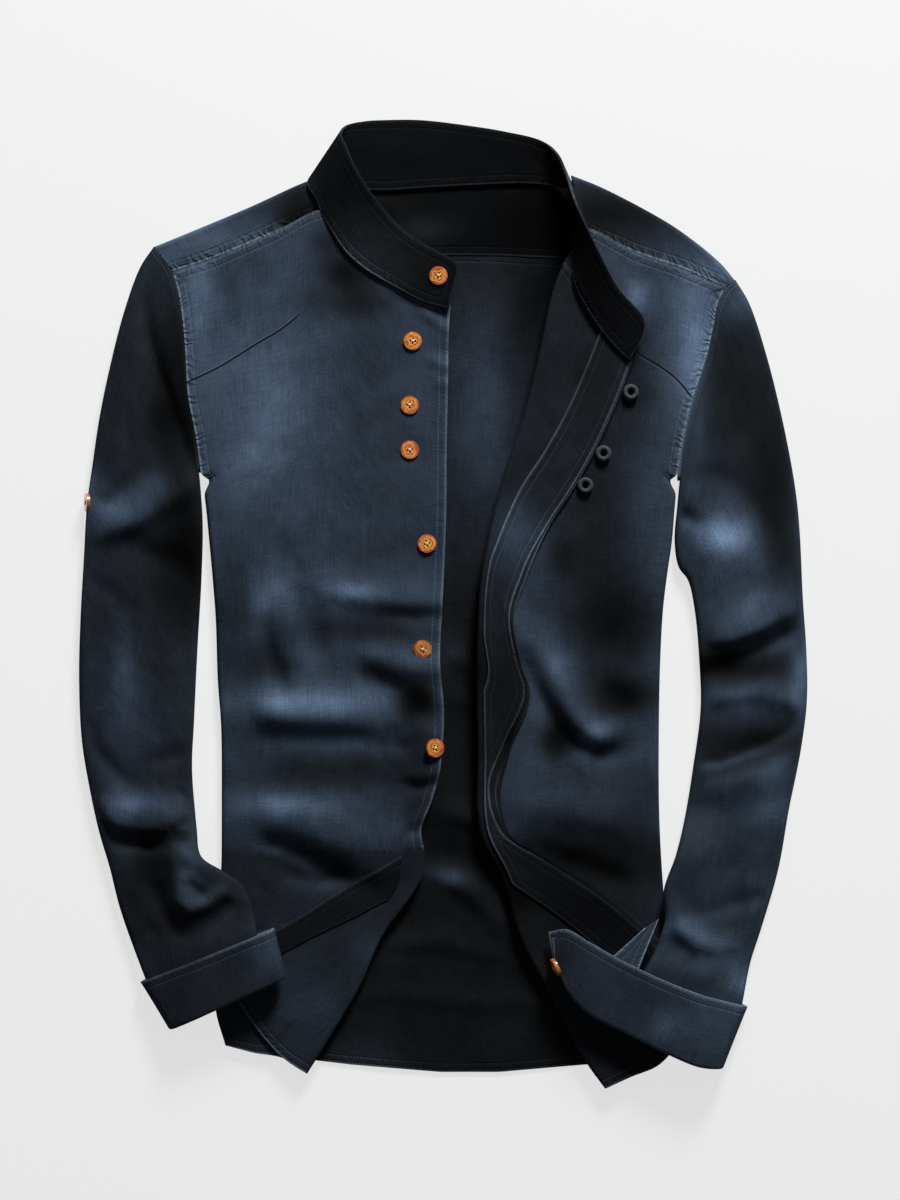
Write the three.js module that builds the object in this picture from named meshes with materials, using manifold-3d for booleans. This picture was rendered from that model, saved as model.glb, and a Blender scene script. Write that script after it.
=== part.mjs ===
// A mandarin collar shirt laid flat on its back, open at the front.
// The neck points along +Y, the wearer's left lies along +X, and the floor is z = 0.
import * as THREE from 'three';
import * as BufferGeometryUtils from 'three/addons/utils/BufferGeometryUtils.js';
import Module from 'manifold-3d';

const wasm = await Module();
wasm.setup();

// Cloth and seams
const CLOTH = 1.2;
const DOUBLE_CLOTH = 2;
const SEAM_GAP = 0.3;
const ARMHOLE_GAP = 0.7;
const TURN_UNDER = 12;

// How high the layers lie
const SIDE_ROLL = 3.75;
const HEM_ROLL = 2.2;
const FOLD_ROLL = 2.4;
const FRONT_EDGE_HEIGHT = 6.9;
const BODY_LOFT = 3.2;
const SLEEVE_LOFT = 3.5;
const BED_HEIGHT = 11.6;

// Trim
const BUTTON_DIAMETER = 13.7;
const BUTTON_THICKNESS = 2.6;
const BUTTON_HOLE = 1.7;
const BUTTON_HOLE_SPACING = 2.5;
const PLACKET_WIDTH = 36;
const LOOP_RING = 4.2;
const LOOP_ROLL = 1.75;
const CUFF_SEAM_DEPTH = 0.2;

const MIDDLE = CLOTH / 2;

// Outlines of the laid shirt, seen from above. Each row is x, y.
const RIGHT_ARMHOLE_AND_SIDE = [
  [-214, 265], [-206.5, 256], [-200.5, 246], [-196, 230], [-193, 210], [-191, 187], [-189, 154],
  [-183, 122], [-179.5, 97], [-176, 75], [-173, 45], [-170, 12], [-168, -15], [-166.5, -60],
  [-164, -95], [-163.5, -150], [-164, -201], [-167, -255], [-168.5, -306], [-161, -334.5],
];
const LEFT_ARMHOLE_AND_SIDE = [
  [221, 240], [214, 234.5], [208, 222], [205, 206], [201, 187], [195, 168], [189, 150],
  [181, 115], [178, 92], [176, 71], [173.5, 42], [170, 18], [167, -8], [165, -45], [164, -90],
  [164, -150], [165, -180], [168, -225], [173, -280], [187, -334],
];
const RIGHT_YOKE_SEAM = [[-200.5, 246], [-169, 256.5], [-127, 274], [-86, 292]];
const RIGHT_NECK = [[-86, 292], [-77, 279], [-66, 263], [-52, 250], [-30, 237], [-11, 227], [8, 223]];
const LEFT_YOKE_SEAM = [[214, 234.5], [180, 249], [150, 259], [108, 278]];
const LEFT_NECK = [[108, 278], [101, 265], [93, 253]];
const LEFT_TURNED_NECK = [[93, 253], [104, 238], [119, 215], [145, 182]];
const RIGHT_SHOULDER = [[-214, 265], [-180, 279], [-142, 295], [-105, 312], [-91.5, 317]];
const LEFT_SHOULDER = [[103, 317], [120, 310], [157, 291], [180, 277], [210, 253], [221, 240]];
const BACK_NECK = [[-91.5, 317], [-56, 312], [0, 316], [45, 318], [103, 317]];
const BACK_YOKE_SEAM = [[-206.5, 256], [-150, 258], [-60, 258], [60, 258], [150, 247], [205, 206]];
const RIGHT_FRONT_EDGE = [
  [8, 223], [6.5, 200], [6, 165], [5, 112], [4.5, 60], [2, 0], [0, -45], [3, -85], [0, -127],
  [-6, -150], [-14, -172], [-12, -187],
];
const RIGHT_FOLD = [[-12, -187], [-14, -208], [-45, -255], [-60, -289], [-78, -320], [-100, -355]];
const RIGHT_SIDE_AT_FOLD = [-163.7, -192];
const RIGHT_ROW_AT_FOLD = [RIGHT_SIDE_AT_FOLD, [-90, -190], [-12, -187]];
const RIGHT_HEM = [[-161, -334.5], [-140, -340], [-118, -344], [-100, -355]];
const RIGHT_TURNED_EDGE = [[-12, -187], [-26, -189], [-52, -204], [-75, -217], [-120, -245], [-162, -264]];
const RIGHT_TURNED_HEM = [[-100, -355], [-118, -343], [-134, -326], [-151, -302], [-164, -281]];
const LEFT_FOLD = [
  [93, 253], [85, 232], [75, 187], [64, 142], [45, 82], [31, 15], [28, -37], [28.5, -112],
  [30, -172], [47, -210], [61, -255], [81, -292], [109, -345], [124, -366],
];
const LEFT_FREE_EDGE = [
  [145, 182], [133, 150], [116, 112], [99, 82], [81, 54], [64, 15], [55, -15], [61, -49],
  [67.5, -72], [52, -110], [41, -142], [51, -174], [82, -193], [120, -217], [156, -247],
  [180, -275], [184, -300],
];
const LEFT_HEM = [[187, -334], [165, -345], [144, -352], [124, -366]];
const LEFT_TURNED_HEM = [[124, -366], [142, -358], [165, -348], [180, -328], [184, -300]];
const BACK_HEM = [
  [-161, -334.5], [-118, -343.5], [-67, -349.5], [0, -355], [45, -355], [115, -349], [187, -334],
];
const RIGHT_SLEEVE_OUTER = [
  [-214, 265], [-224, 250], [-236, 217], [-247.5, 172], [-255, 135], [-260, 101], [-264, 72],
  [-266.5, 30], [-269, -15], [-270, -60], [-268, -105], [-262, -142], [-255, -174], [-247, -201],
  [-240, -229], [-232, -253], [-221, -281], [-217.5, -290],
];
const RIGHT_SLEEVE_INNER = [
  [-181, 96], [-179, 75], [-178, 52], [-179, 15], [-182, -37], [-184.5, -90], [-186, -128],
  [-182, -172], [-178, -192], [-160, -204], [-147, -214], [-139, -234], [-135.5, -254.5],
];
const LEFT_SLEEVE_OUTER = [
  [221, 240], [231, 223], [244, 184], [257, 131], [266, 82], [269, 52], [271.5, 0], [274, -37],
  [274.5, -75], [270, -112], [261, -157], [253, -202], [240, -247], [232, -272], [224.5, -308],
];
const LEFT_SLEEVE_INNER = [
  [180, 90], [178, 70], [176, 44], [179, 25], [186, 15], [191, -7], [194.5, -45], [195.5, -82],
  [190, -125], [184, -161], [176, -191], [167, -217], [167.5, -240], [160, -262], [152, -277],
];

// Large folds: the crest's points, how far it spreads and how high it stands. Troughs are negative.
const BODY_FOLDS = [
  { crest: [[-105, 7], [-71, 19], [0, 8]], width: 12, height: 3.5 },
  { crest: [[-105, -15], [0, -6]], width: 9, height: -2 },
  { crest: [[-60, -41], [-30, -27], [0, -30]], width: 13, height: 5 },
  { crest: [[-52, -67], [0, -74]], width: 11, height: -2.5 },
  { crest: [[-142, 30], [-124, -60]], width: 11, height: -2 },
  { crest: [[-158, -67], [-105, -71], [-67, -79], [-30, -94], [-19, -101]], width: 13, height: 8 },
  { crest: [[-150, -103], [-105, -110], [-45, -121]], width: 11, height: -2 },
  { crest: [[-158, -139], [-112, -142], [-75, -160], [-40, -184]], width: 13, height: 5.5 },
  { crest: [[-128, 180], [-60, 210]], width: 22, height: 2 },
  { crest: [[75, -12], [86, -45], [100, -75], [114, -90], [135, -94], [165, -99]], width: 12, height: 8 },
  { crest: [[78, -60], [83, -86], [101, -112], [120, -120], [150, -112]], width: 10, height: -2.5 },
  { crest: [[118, -58], [150, -64]], width: 10, height: -2 },
  { crest: [[120, 0], [150, 90], [170, 140]], width: 20, height: 2 },
];
const BACK_FOLDS = [
  { crest: [[-20, -203], [8, -210], [38, -232], [52, -251]], width: 12, height: 3 },
  { crest: [[4, -160], [24, -163]], width: 10, height: 2 },
];
const RIGHT_SLEEVE_FOLDS = [
  { crest: [[-214, 240], [-216, 200], [-212, 165], [-198, 135]], width: 9, height: -2.5 },
  { crest: [[-255, 50], [-225, 75], [-188, 92]], width: 13, height: 5 },
  { crest: [[-259, 20], [-217, 45], [-184, 58]], width: 10, height: -2.5 },
  { crest: [[-255, -142], [-217, -150], [-190, -128]], width: 12, height: 5 },
  { crest: [[-255, -105], [-222, -120]], width: 10, height: -2 },
  { crest: [[-225, -190], [-190, -194], [-160, -216]], width: 10, height: 5 },
  { crest: [[-220, -222], [-190, -240], [-160, -236]], width: 9, height: -2.5 },
];
const LEFT_SLEEVE_FOLDS = [
  { crest: [[196, 75], [208, 45], [216, 15]], width: 16, height: 4 },
  { crest: [[200, -34], [232, -26], [268, -4]], width: 11, height: 6 },
  { crest: [[200, -58], [232, -45], [262, -22]], width: 9, height: -2.5 },
  { crest: [[200, -76], [240, -62], [266, -47]], width: 10, height: 4.5 },
  { crest: [[196, -122], [232, -116], [266, -94]], width: 8, height: -2.5 },
  { crest: [[196, -150], [252, -150]], width: 14, height: 4 },
  { crest: [[174, -221], [184, -246], [214, -258]], width: 11, height: 4 },
];

// The collar band, from the wearer's right front end round the neck to the left one.
// Each row has the foot on the neck seam, the top edge, and the height of both.
const COLLAR_BAND = [
  { foot: [8, 223], top: [14, 252], footHeight: 13.2, topHeight: 13.2 },
  { foot: [-11, 228], top: [0, 260], footHeight: 13.4, topHeight: 14.4 },
  { foot: [-30, 238], top: [-15, 268], footHeight: 13.6, topHeight: 15 },
  { foot: [-52, 251], top: [-30, 279], footHeight: 13.8, topHeight: 16.6 },
  { foot: [-67, 264], top: [-45, 296], footHeight: 13.8, topHeight: 18 },
  { foot: [-78, 280], top: [-56, 311], footHeight: 13.4, topHeight: 20 },
  { foot: [-86, 294], top: [-64.5, 326], footHeight: 12, topHeight: 20 },
  { foot: [-90.5, 305], top: [-70, 339], footHeight: 11.6, topHeight: 17 },
  { foot: [-96.5, 316], top: [-74, 350], footHeight: 9.5, topHeight: 10.5 },
  { foot: [-90, 324], top: [-69, 357], footHeight: 4.2, topHeight: 4 },
  { foot: [-75, 316], top: [-57, 360], footHeight: 2.9, topHeight: 1.6 },
  { foot: [-45, 313], top: [-41, 361], footHeight: 2.8, topHeight: 1.2 },
  { foot: [-10, 315], top: [-15, 361], footHeight: 2.8, topHeight: 1.1 },
  { foot: [30, 317], top: [20, 357], footHeight: 2.8, topHeight: 1.1 },
  { foot: [60, 318], top: [50, 352], footHeight: 2.8, topHeight: 2 },
  { foot: [83, 316], top: [75, 345], footHeight: 3.2, topHeight: 7 },
  { foot: [98, 310], top: [87, 334], footHeight: 7.5, topHeight: 16 },
  { foot: [102.5, 299], top: [94, 317], footHeight: 11, topHeight: 25 },
  { foot: [104, 284], top: [100, 297], footHeight: 11.4, topHeight: 32 },
  { foot: [102, 264], top: [108, 279], footHeight: 13.5, topHeight: 33 },
  { foot: [104, 240], top: [119, 257], footHeight: 17.5, topHeight: 29 },
  { foot: [117, 215], top: [133, 232], footHeight: 18.2, topHeight: 24 },
  { foot: [130, 197], top: [145, 219], footHeight: 18.2, topHeight: 21 },
  { foot: [144, 183], top: [156, 207], footHeight: 18.2, topHeight: 19.5 },
];

// Where the buttons are sewn, by x and y
const BUTTONS = [
  { name: 'button_collar', at: [-1.5, 243], on: 'collar' },
  { name: 'button_loop_1', at: [-21, 194], on: 'front_right' },
  { name: 'button_loop_2', at: [-23, 146], on: 'front_right' },
  { name: 'button_loop_3', at: [-23, 112.5], on: 'front_right' },
  { name: 'button_placket_1', at: [-10, 42], on: 'front_right' },
  { name: 'button_placket_2', at: [-13, -35], on: 'front_right' },
  { name: 'button_placket_3', at: [-8, -110], on: 'front_right' },
];
const LOOPS = [
  { name: 'button_loop_cord_1', edge: [136.5, 158], out: [0.93, -0.36] },
  { name: 'button_loop_cord_2', edge: [116, 112], out: [0.93, -0.36] },
  { name: 'button_loop_cord_3', edge: [102.5, 88], out: [0.93, -0.36] },
];

const group = new THREE.Group();
const clothMaterial = new THREE.MeshStandardMaterial({ color: 0x243140, roughness: 0.9, metalness: 0 });
const bandMaterial = new THREE.MeshStandardMaterial({ color: 0x1f2b39, roughness: 0.9, metalness: 0 });
const hornMaterial = new THREE.MeshStandardMaterial({ color: 0xc4702c, roughness: 0.35, metalness: 0 });

function addPiece(name, geometry, material) {
  const mesh = new THREE.Mesh(geometry, material.clone());
  mesh.name = name;
  group.add(mesh);
  return mesh;
}

// Small sums that the outlines need
const clamp = (value) => Math.min(1, Math.max(0, value));
const mix = (a, b, share) => a + (b - a) * share;

// Zones over which one shape passes into the next: from and to in mm, along Y, along X or from an edge
const ZONES = {
  hemRoll: [-215, -150],
  hemLoft: [-215, -140],
  hemFolds: [-225, -170],
  loftFromSide: [0, 60],
  foldsFromSide: [-6, 22],
  dipFromEdge: [0, 45],
  underarm: [78, 96],
  sleeveRest: [-196, -150],
  rightRestX: [-222, -176],
  leftRestX: [190, 229],
  edgeStep: [20, 60],
};
const HEM_LOFT = 0.6;

function ease(value, from, to) {
  const share = clamp((value - from) / (to - from));
  return share * share * (3 - 2 * share);
}

function line(points) {
  const path = points.map(([x, y]) => new THREE.Vector3(x, y, 0));
  const curve = new THREE.CatmullRomCurve3(path, false, 'centripetal');
  curve.arcLengthDivisions = 400;
  return curve;
}

function joined(...lists) {
  return lists.flatMap((list, index) => (index ? list.slice(1) : list));
}

// The stretch of an outline between two of its rows
function stretch(points, from, to) {
  return points.slice(from, to);
}

function distanceToPath(x, y, path) {
  let nearest = Infinity;
  for (let i = 1; i < path.length; i += 1) {
    const [ax, ay] = path[i - 1];
    const [bx, by] = path[i];
    const length = (bx - ax) ** 2 + (by - ay) ** 2;
    const share = clamp(((x - ax) * (bx - ax) + (y - ay) * (by - ay)) / length);
    nearest = Math.min(nearest, Math.hypot(x - ax - share * (bx - ax), y - ay - share * (by - ay)));
  }
  return nearest;
}

function foldHeight(x, y, folds) {
  let height = 0;
  for (const fold of folds) {
    height += fold.height * Math.exp(-((distanceToPath(x, y, fold.crest) / fold.width) ** 2));
  }
  return height;
}

// A sheet is a middle surface of four-sided cells, and its wall is that surface with a thickness
function makeSheet() {
  return { points: [], cells: [], places: new Map() };
}

function placePoint(sheet, point) {
  const key = point.toArray().map((value) => Math.round(value * 100)).join();
  if (!sheet.places.has(key)) {
    sheet.places.set(key, sheet.points.length);
    sheet.points.push(point.clone());
  }
  return sheet.places.get(key);
}

function addRows(sheet, rows) {
  const numbers = rows.map((row) => row.map((point) => placePoint(sheet, point)));
  for (let j = 1; j < rows.length; j += 1) {
    for (let i = 1; i < rows[j].length; i += 1) {
      const cell = [numbers[j - 1][i - 1], numbers[j - 1][i], numbers[j][i], numbers[j][i - 1]];
      sheet.cells.push(cell);
    }
  }
}

function wall(sheet, thickness) {
  const normals = sheet.points.map(() => new THREE.Vector3());
  const triangles = [];
  for (const [a, b, c, d] of sheet.cells) {
    const [pa, pb, pc, pd] = [a, b, c, d].map((index) => sheet.points[index]);
    const across = pa.distanceTo(pc) <= pb.distanceTo(pd) ? [[a, b, c], [a, c, d]] : [[a, b, d], [b, c, d]];
    triangles.push(...across.filter((corners) => new Set(corners).size === 3));
    const normal = new THREE.Vector3().crossVectors(pc.clone().sub(pa), pd.clone().sub(pb)).normalize();
    for (const index of [a, b, c, d]) normals[index].add(normal);
  }
  const count = sheet.points.length;
  const positions = [];
  for (const side of [1, -1]) {
    sheet.points.forEach((point, index) => {
      const moved = normals[index].clone().normalize().multiplyScalar((side * thickness) / 2);
      positions.push(...point.clone().add(moved).toArray());
    });
  }
  const edges = new Map();
  const faces = [];
  for (const [a, b, c] of triangles) {
    faces.push(a, b, c, a + count, c + count, b + count);
    for (const [from, to] of [[a, b], [b, c], [c, a]]) {
      if (edges.has(`${to},${from}`)) edges.delete(`${to},${from}`);
      else edges.set(`${from},${to}`, [from, to]);
    }
  }
  for (const [from, to] of edges.values()) {
    faces.push(to, from, from + count, to, from + count, to + count);
  }
  const geometry = new THREE.BufferGeometry();
  geometry.setAttribute('position', new THREE.Float32BufferAttribute(positions, 3));
  geometry.setIndex(faces);
  geometry.computeVertexNormals();
  return geometry;
}

// A patch between four outlines, by shares across and down
function patchPoint(outlines, across, down) {
  const { top, bottom, left, right } = outlines;
  const sides = left.getPointAt(down).lerp(right.getPointAt(down), across);
  const ends = top.getPointAt(across).lerp(bottom.getPointAt(across), down);
  const upper = top.getPointAt(0).lerp(top.getPointAt(1), across);
  const lower = bottom.getPointAt(0).lerp(bottom.getPointAt(1), across);
  return sides.add(ends).sub(upper.lerp(lower, down));
}

// Evenly spaced values from one to another, both ends included
function steps(count, from = 0, to = 1) {
  return Array.from({ length: count + 1 }, (_, index) => mix(from, to, index / count));
}

// Heights of the laid body
function sideRoll(y) {
  return mix(HEM_ROLL, SIDE_ROLL, ease(y, ...ZONES.hemRoll));
}

function bodyHeight(x, y, edgeDistance) {
  const low = MIDDLE + 2 * sideRoll(y);
  const loft = mix(HEM_LOFT, BODY_LOFT, ease(y, ...ZONES.hemLoft));
  const inside = ease(edgeDistance, ...ZONES.loftFromSide);
  const spread = ease(edgeDistance, ...ZONES.foldsFromSide) * ease(y, ...ZONES.hemFolds);
  const folds = foldHeight(x, y, BODY_FOLDS) * spread;
  return low + loft * inside + folds;
}

// The height of a front over the back, which dips a little towards its middle edge
function frontHeight(x, y, sideDistance, middleDistance) {
  const lowering = MIDDLE + 2 * sideRoll(y) - FRONT_EDGE_HEIGHT;
  const dip = (1 - ease(middleDistance, ...ZONES.dipFromEdge)) * lowering;
  return bodyHeight(x, y, sideDistance) - Math.max(dip, 0);
}

// The cloth at a side: under the body, round the roll and onto the top.
// Above the underarm it lies flat up to the armhole.
function sideColumns(edge, inner, rolled, roll) {
  const direction = inner.clone().sub(edge);
  const reach = direction.length();
  direction.normalize();
  const turn = Math.SQRT1_2;
  const profile = [
    [roll + TURN_UNDER, 0], [roll, 0], [roll * (1 - turn), roll * (1 - turn)],
    [0, roll], [roll * (1 - turn), roll * (1 + turn)], [roll, 2 * roll],
  ];
  return profile.map(([along, height], index) => {
    const flat = (reach * index) / profile.length;
    const point = edge.clone().addScaledVector(direction, mix(flat, along, rolled));
    point.z = MIDDLE + mix(2 * roll, height, rolled);
    return point;
  });
}

const SIDE_REACH = 19;
const rolledShare = (y) => 1 - ease(y, ...ZONES.underarm);

function frontRows(outlines, downs, columnCount, heightAt) {
  return downs.map((down) => {
    const edge = outlines.left.getPointAt(down);
    const width = edge.distanceTo(outlines.right.getPointAt(down));
    const start = SIDE_REACH / width;
    const inner = patchPoint(outlines, start, down);
    const row = sideColumns(edge, inner, rolledShare(edge.y), sideRoll(edge.y));
    for (const across of steps(columnCount, start, 1)) {
      const point = patchPoint(outlines, across, down);
      const middleDistance = (1 - across) * width;
      point.z = heightAt(point.x, point.y, point.distanceTo(inner), middleDistance);
      row.push(point);
    }
    return row;
  });
}

// A cloth turned back on itself: the roll at the fold, and then the upper layer
function turnedColumns(fold, target, lowHeight, points, gapAt) {
  const direction = fold.clone().sub(target).setZ(0).normalize();
  const row = [];
  for (const angle of [Math.PI / 4, Math.PI / 2, (3 * Math.PI) / 4, Math.PI]) {
    const point = fold.clone().addScaledVector(direction, FOLD_ROLL * (Math.sin(angle) - 1));
    point.z = lowHeight + FOLD_ROLL * (1 - Math.cos(angle));
    row.push(point);
  }
  for (const point of points) {
    const laid = point.clone();
    laid.z = gapAt(point);
    row.push(laid);
  }
  return row;
}

// The wearer's right front. Its lower corner is turned up over itself, inside out.
const FRONT_ROWS = 20;
const CORNER_ROWS = 7;
const FRONT_COLUMNS = 9;
const TURNED_COLUMNS = 6;

const rightUpper = {
  top: line(joined(RIGHT_YOKE_SEAM, RIGHT_NECK)),
  left: line([...stretch(RIGHT_ARMHOLE_AND_SIDE, 2, 16), RIGHT_SIDE_AT_FOLD]),
  right: line(RIGHT_FRONT_EDGE),
  bottom: line(RIGHT_ROW_AT_FOLD),
};
const rightLower = {
  top: line(RIGHT_ROW_AT_FOLD),
  left: line([RIGHT_SIDE_AT_FOLD, ...stretch(RIGHT_ARMHOLE_AND_SIDE, 16, 20)]),
  right: line(RIGHT_FOLD),
  bottom: line(RIGHT_HEM),
};
const rightUpperRows = frontRows(rightUpper, steps(FRONT_ROWS), FRONT_COLUMNS, frontHeight);
const rightLowerRows = frontRows(rightLower, steps(CORNER_ROWS), FRONT_COLUMNS, frontHeight);
const rightCorner = {
  top: line(RIGHT_TURNED_EDGE),
  left: line(RIGHT_FOLD),
  right: line([RIGHT_TURNED_EDGE.at(-1), [-170, -272], RIGHT_TURNED_HEM.at(-1)]),
  bottom: line(RIGHT_TURNED_HEM),
};

// How far the turned cloth's middle lies above the layer under it, at the fold and away from it
const RIGHT_TURNED_GAP = 2.6;
const LEFT_TURNED_GAP = 3.2;
const GAP_EASE = { from: 2, to: 34 };
const RIGHT_SIDE_X = -163;
const RIGHT_TURNED_START = 0.07;

function turnedGap(foldDistance, gap) {
  return mix(2 * FOLD_ROLL, gap, ease(foldDistance, GAP_EASE.from, GAP_EASE.to));
}

const rightCornerRows = rightLowerRows.map((row, index) => {
  const down = index / CORNER_ROWS;
  const fold = rightLower.right.getPointAt(down);
  const last = row.at(-1);
  const shares = steps(TURNED_COLUMNS, RIGHT_TURNED_START, 1);
  const points = shares.map((across) => patchPoint(rightCorner, across, down));
  const turned = turnedColumns(fold, points[2], last.z, points, (point) => {
    const sideDistance = point.x - RIGHT_SIDE_X - SIDE_REACH;
    const over = turnedGap(point.distanceTo(fold), RIGHT_TURNED_GAP);
    return bodyHeight(point.x, point.y, sideDistance) + over;
  });
  return { main: row, turned };
});

const frontRight = makeSheet();
addRows(frontRight, rightUpperRows);
addRows(frontRight, rightCornerRows.map(({ main, turned }) => {
  const inset = main.at(-1);
  inset.x = turned.at(3).x;
  inset.y = turned.at(3).y;
  return [...main, ...turned];
}));
addPiece('front_right', wall(frontRight, CLOTH), clothMaterial);

// The wearer's left front, turned outwards along its whole length
const LEFT_ROWS = FRONT_ROWS + CORNER_ROWS;
const LEFT_TURNED_START = FOLD_ROLL + 2.5;
const leftMain = {
  top: line(joined(LEFT_YOKE_SEAM, LEFT_NECK)),
  left: line(stretch(LEFT_ARMHOLE_AND_SIDE, 1, 20)),
  right: line(LEFT_FOLD),
  bottom: line(LEFT_HEM),
};
const leftTurned = {
  top: line(LEFT_TURNED_NECK),
  left: line(LEFT_FOLD),
  right: line(LEFT_FREE_EDGE),
  bottom: line(LEFT_TURNED_HEM),
};
const leftMainRows = frontRows(leftMain, steps(LEFT_ROWS), FRONT_COLUMNS, frontHeight);
const leftRows = leftMainRows.map((row, index) => {
  const down = index / LEFT_ROWS;
  const fold = leftMain.right.getPointAt(down);
  const width = fold.distanceTo(leftTurned.right.getPointAt(down));
  const shares = steps(TURNED_COLUMNS - 1, LEFT_TURNED_START / width, 1);
  const points = shares.map((across) => patchPoint(leftTurned, across, down));
  const main = row.at(-1);
  const turned = turnedColumns(fold, points[2], main.z, points, (point) => {
    const foldDistance = point.distanceTo(fold);
    const sideDistance = leftMain.left.getPointAt(down).x - point.x - SIDE_REACH;
    const over = turnedGap(foldDistance, LEFT_TURNED_GAP);
    return frontHeight(point.x, point.y, sideDistance, foldDistance) + over;
  });
  main.x = turned[3].x;
  main.y = turned[3].y;
  return [...row, ...turned];
});
const frontLeft = makeSheet();
addRows(frontLeft, leftRows);
addPiece('front_left', wall(frontLeft, CLOTH), clothMaterial);

// The back lies on the floor and meets each front's turned-under edge at the side seam
const BACK_COLUMNS = 9;
const BACK_TOP_ROW = 2;

function backEdge(row, sideways) {
  const point = row[0].clone();
  point.x += sideways * SEAM_GAP;
  point.z = MIDDLE;
  return point;
}

const backSeam = line(BACK_YOKE_SEAM);
const frontEdgeRows = [...rightUpperRows, ...rightLowerRows.slice(1)];
const backRows = [];

function backRow(left, right, bend) {
  return steps(BACK_COLUMNS).map((across) => {
    const point = left.clone().lerp(right, across);
    point.y += bend(across, point);
    point.z = MIDDLE + foldHeight(point.x, point.y, BACK_FOLDS);
    return point;
  });
}

const seamStart = backSeam.getPointAt(0);
const seamEnd = backSeam.getPointAt(1);
const seamBow = (across) => backSeam.getPointAt(across).y - mix(seamStart.y, seamEnd.y, across);
frontEdgeRows.forEach((row, index) => {
  if (index < BACK_TOP_ROW) return;
  const left = backEdge(row, 1);
  const right = backEdge(leftRows[index], -1);
  const down = (index - BACK_TOP_ROW) / (frontEdgeRows.length - 1 - BACK_TOP_ROW);
  const lastRow = frontEdgeRows.at(-1)[0];
  const bend = (across, point) => {
    const corners = ease(across, 0, 0.1) * (1 - ease(across, 0.9, 1));
    const hemDrop = (hemAt(point.x) - mix(lastRow.y, leftRows.at(-1)[0].y, across)) * corners;
    return seamBow(across) * (1 - clamp(down * 4)) + hemDrop * clamp(down * 4 - 3);
  };
  backRows.push(backRow(left, right, bend));
});
const topLeft = backRows[0][0];
const topRight = backRows[0].at(-1);
for (const share of [1 / 2, 0]) {
  const left = seamStart.clone().lerp(topLeft, share);
  const right = seamEnd.clone().lerp(topRight, share);
  left.x = sideAt(RIGHT_ARMHOLE_AND_SIDE, left.y) + ARMHOLE_GAP;
  right.x = sideAt(LEFT_ARMHOLE_AND_SIDE, right.y) - ARMHOLE_GAP;
  backRows.unshift(backRow(left, right, seamBow));
}

function sideAt(outline, y) {
  const index = Math.max(1, outline.findIndex(([, rowY]) => rowY <= y));
  const [ax, ay] = outline[index - 1];
  const [bx, by] = outline[index];
  return mix(ax, bx, clamp((y - ay) / (by - ay)));
}

function hemAt(x) {
  const index = Math.max(1, BACK_HEM.findIndex(([rowX]) => rowX >= x));
  const [ax, ay] = BACK_HEM[index - 1];
  const [bx, by] = BACK_HEM[index];
  return mix(ay, by, clamp((x - ax) / (bx - ax)));
}

const back = makeSheet();
addRows(back, backRows);
addPiece('back', wall(back, CLOTH), clothMaterial);

// The yoke covers the back neck and folds forward over both shoulders
const SHOULDER_COLUMNS = 7;
const NECK_COLUMNS = 8;
const YOKE_ROWS = 3;
const ARM_ROWS = 2;

function ridgeColumns(points, shares, arm) {
  const ridgeLine = line(points);
  return shares.map((share) => ({ ridge: ridgeLine.getPointAt(share), arm, share }));
}

function yokeColumns() {
  const right = ridgeColumns(RIGHT_SHOULDER, steps(SHOULDER_COLUMNS), 'right');
  const neck = ridgeColumns(BACK_NECK, steps(NECK_COLUMNS).slice(1, -1), null);
  const left = ridgeColumns(LEFT_SHOULDER, steps(SHOULDER_COLUMNS), 'left');
  return [...right, ...neck, ...left];
}

const yoke = makeSheet();
const columns = yokeColumns();
const yokeFoot = columns.map(({ ridge }) => {
  const share = clamp((ridge.x - columns[0].ridge.x) / (columns.at(-1).ridge.x - columns[0].ridge.x));
  const point = backSeam.getPointAt(share);
  point.y += SEAM_GAP;
  return point;
});
const yokeFlat = steps(YOKE_ROWS).map((share) => columns.map(({ ridge, arm }, index) => {
  const top = ridge.clone();
  if (arm) top.addScaledVector(yokeFoot[index].clone().sub(ridge).normalize(), SIDE_ROLL);
  const point = yokeFoot[index].clone().lerp(top, share);
  if (index === 0) point.x = sideAt(RIGHT_ARMHOLE_AND_SIDE, point.y) + 0.1;
  if (index === columns.length - 1) point.x = sideAt(LEFT_ARMHOLE_AND_SIDE, point.y) - 0.1;
  point.z = MIDDLE;
  return point;
}));
addRows(yoke, yokeFlat);

function yokeArm(name, seamLine) {
  const own = columns.map((column, index) => ({ ...column, index })).filter(({ arm }) => arm === name);
  const seam = line(seamLine);
  const rows = [yokeFlat.at(-1).filter((_, index) => columns[index].arm === name)];
  for (const angle of [Math.PI / 4, Math.PI / 2, (3 * Math.PI) / 4, Math.PI]) {
    rows.push(own.map(({ ridge, share }) => {
      const target = seam.getPointAt(name === 'right' ? share : 1 - share);
      const inward = target.sub(ridge).normalize();
      const point = ridge.clone().addScaledVector(inward, SIDE_ROLL * (1 - Math.sin(angle)));
      point.z = MIDDLE + SIDE_ROLL * (1 - Math.cos(angle));
      return point;
    }));
  }
  const crest = rows.at(-1);
  for (const down of steps(ARM_ROWS).slice(1)) {
    rows.push(own.map(({ share }, position) => {
      const target = seam.getPointAt(name === 'right' ? share : 1 - share);
      target.y += 2 * SEAM_GAP;
      const point = crest[position].clone().lerp(target, down);
      point.z = MIDDLE + 2 * SIDE_ROLL;
      return point;
    }));
  }
  addRows(yoke, rows);
}

yokeArm('right', RIGHT_YOKE_SEAM);
yokeArm('left', LEFT_YOKE_SEAM);
addPiece('yoke', wall(yoke, CLOTH), clothMaterial);

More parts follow.
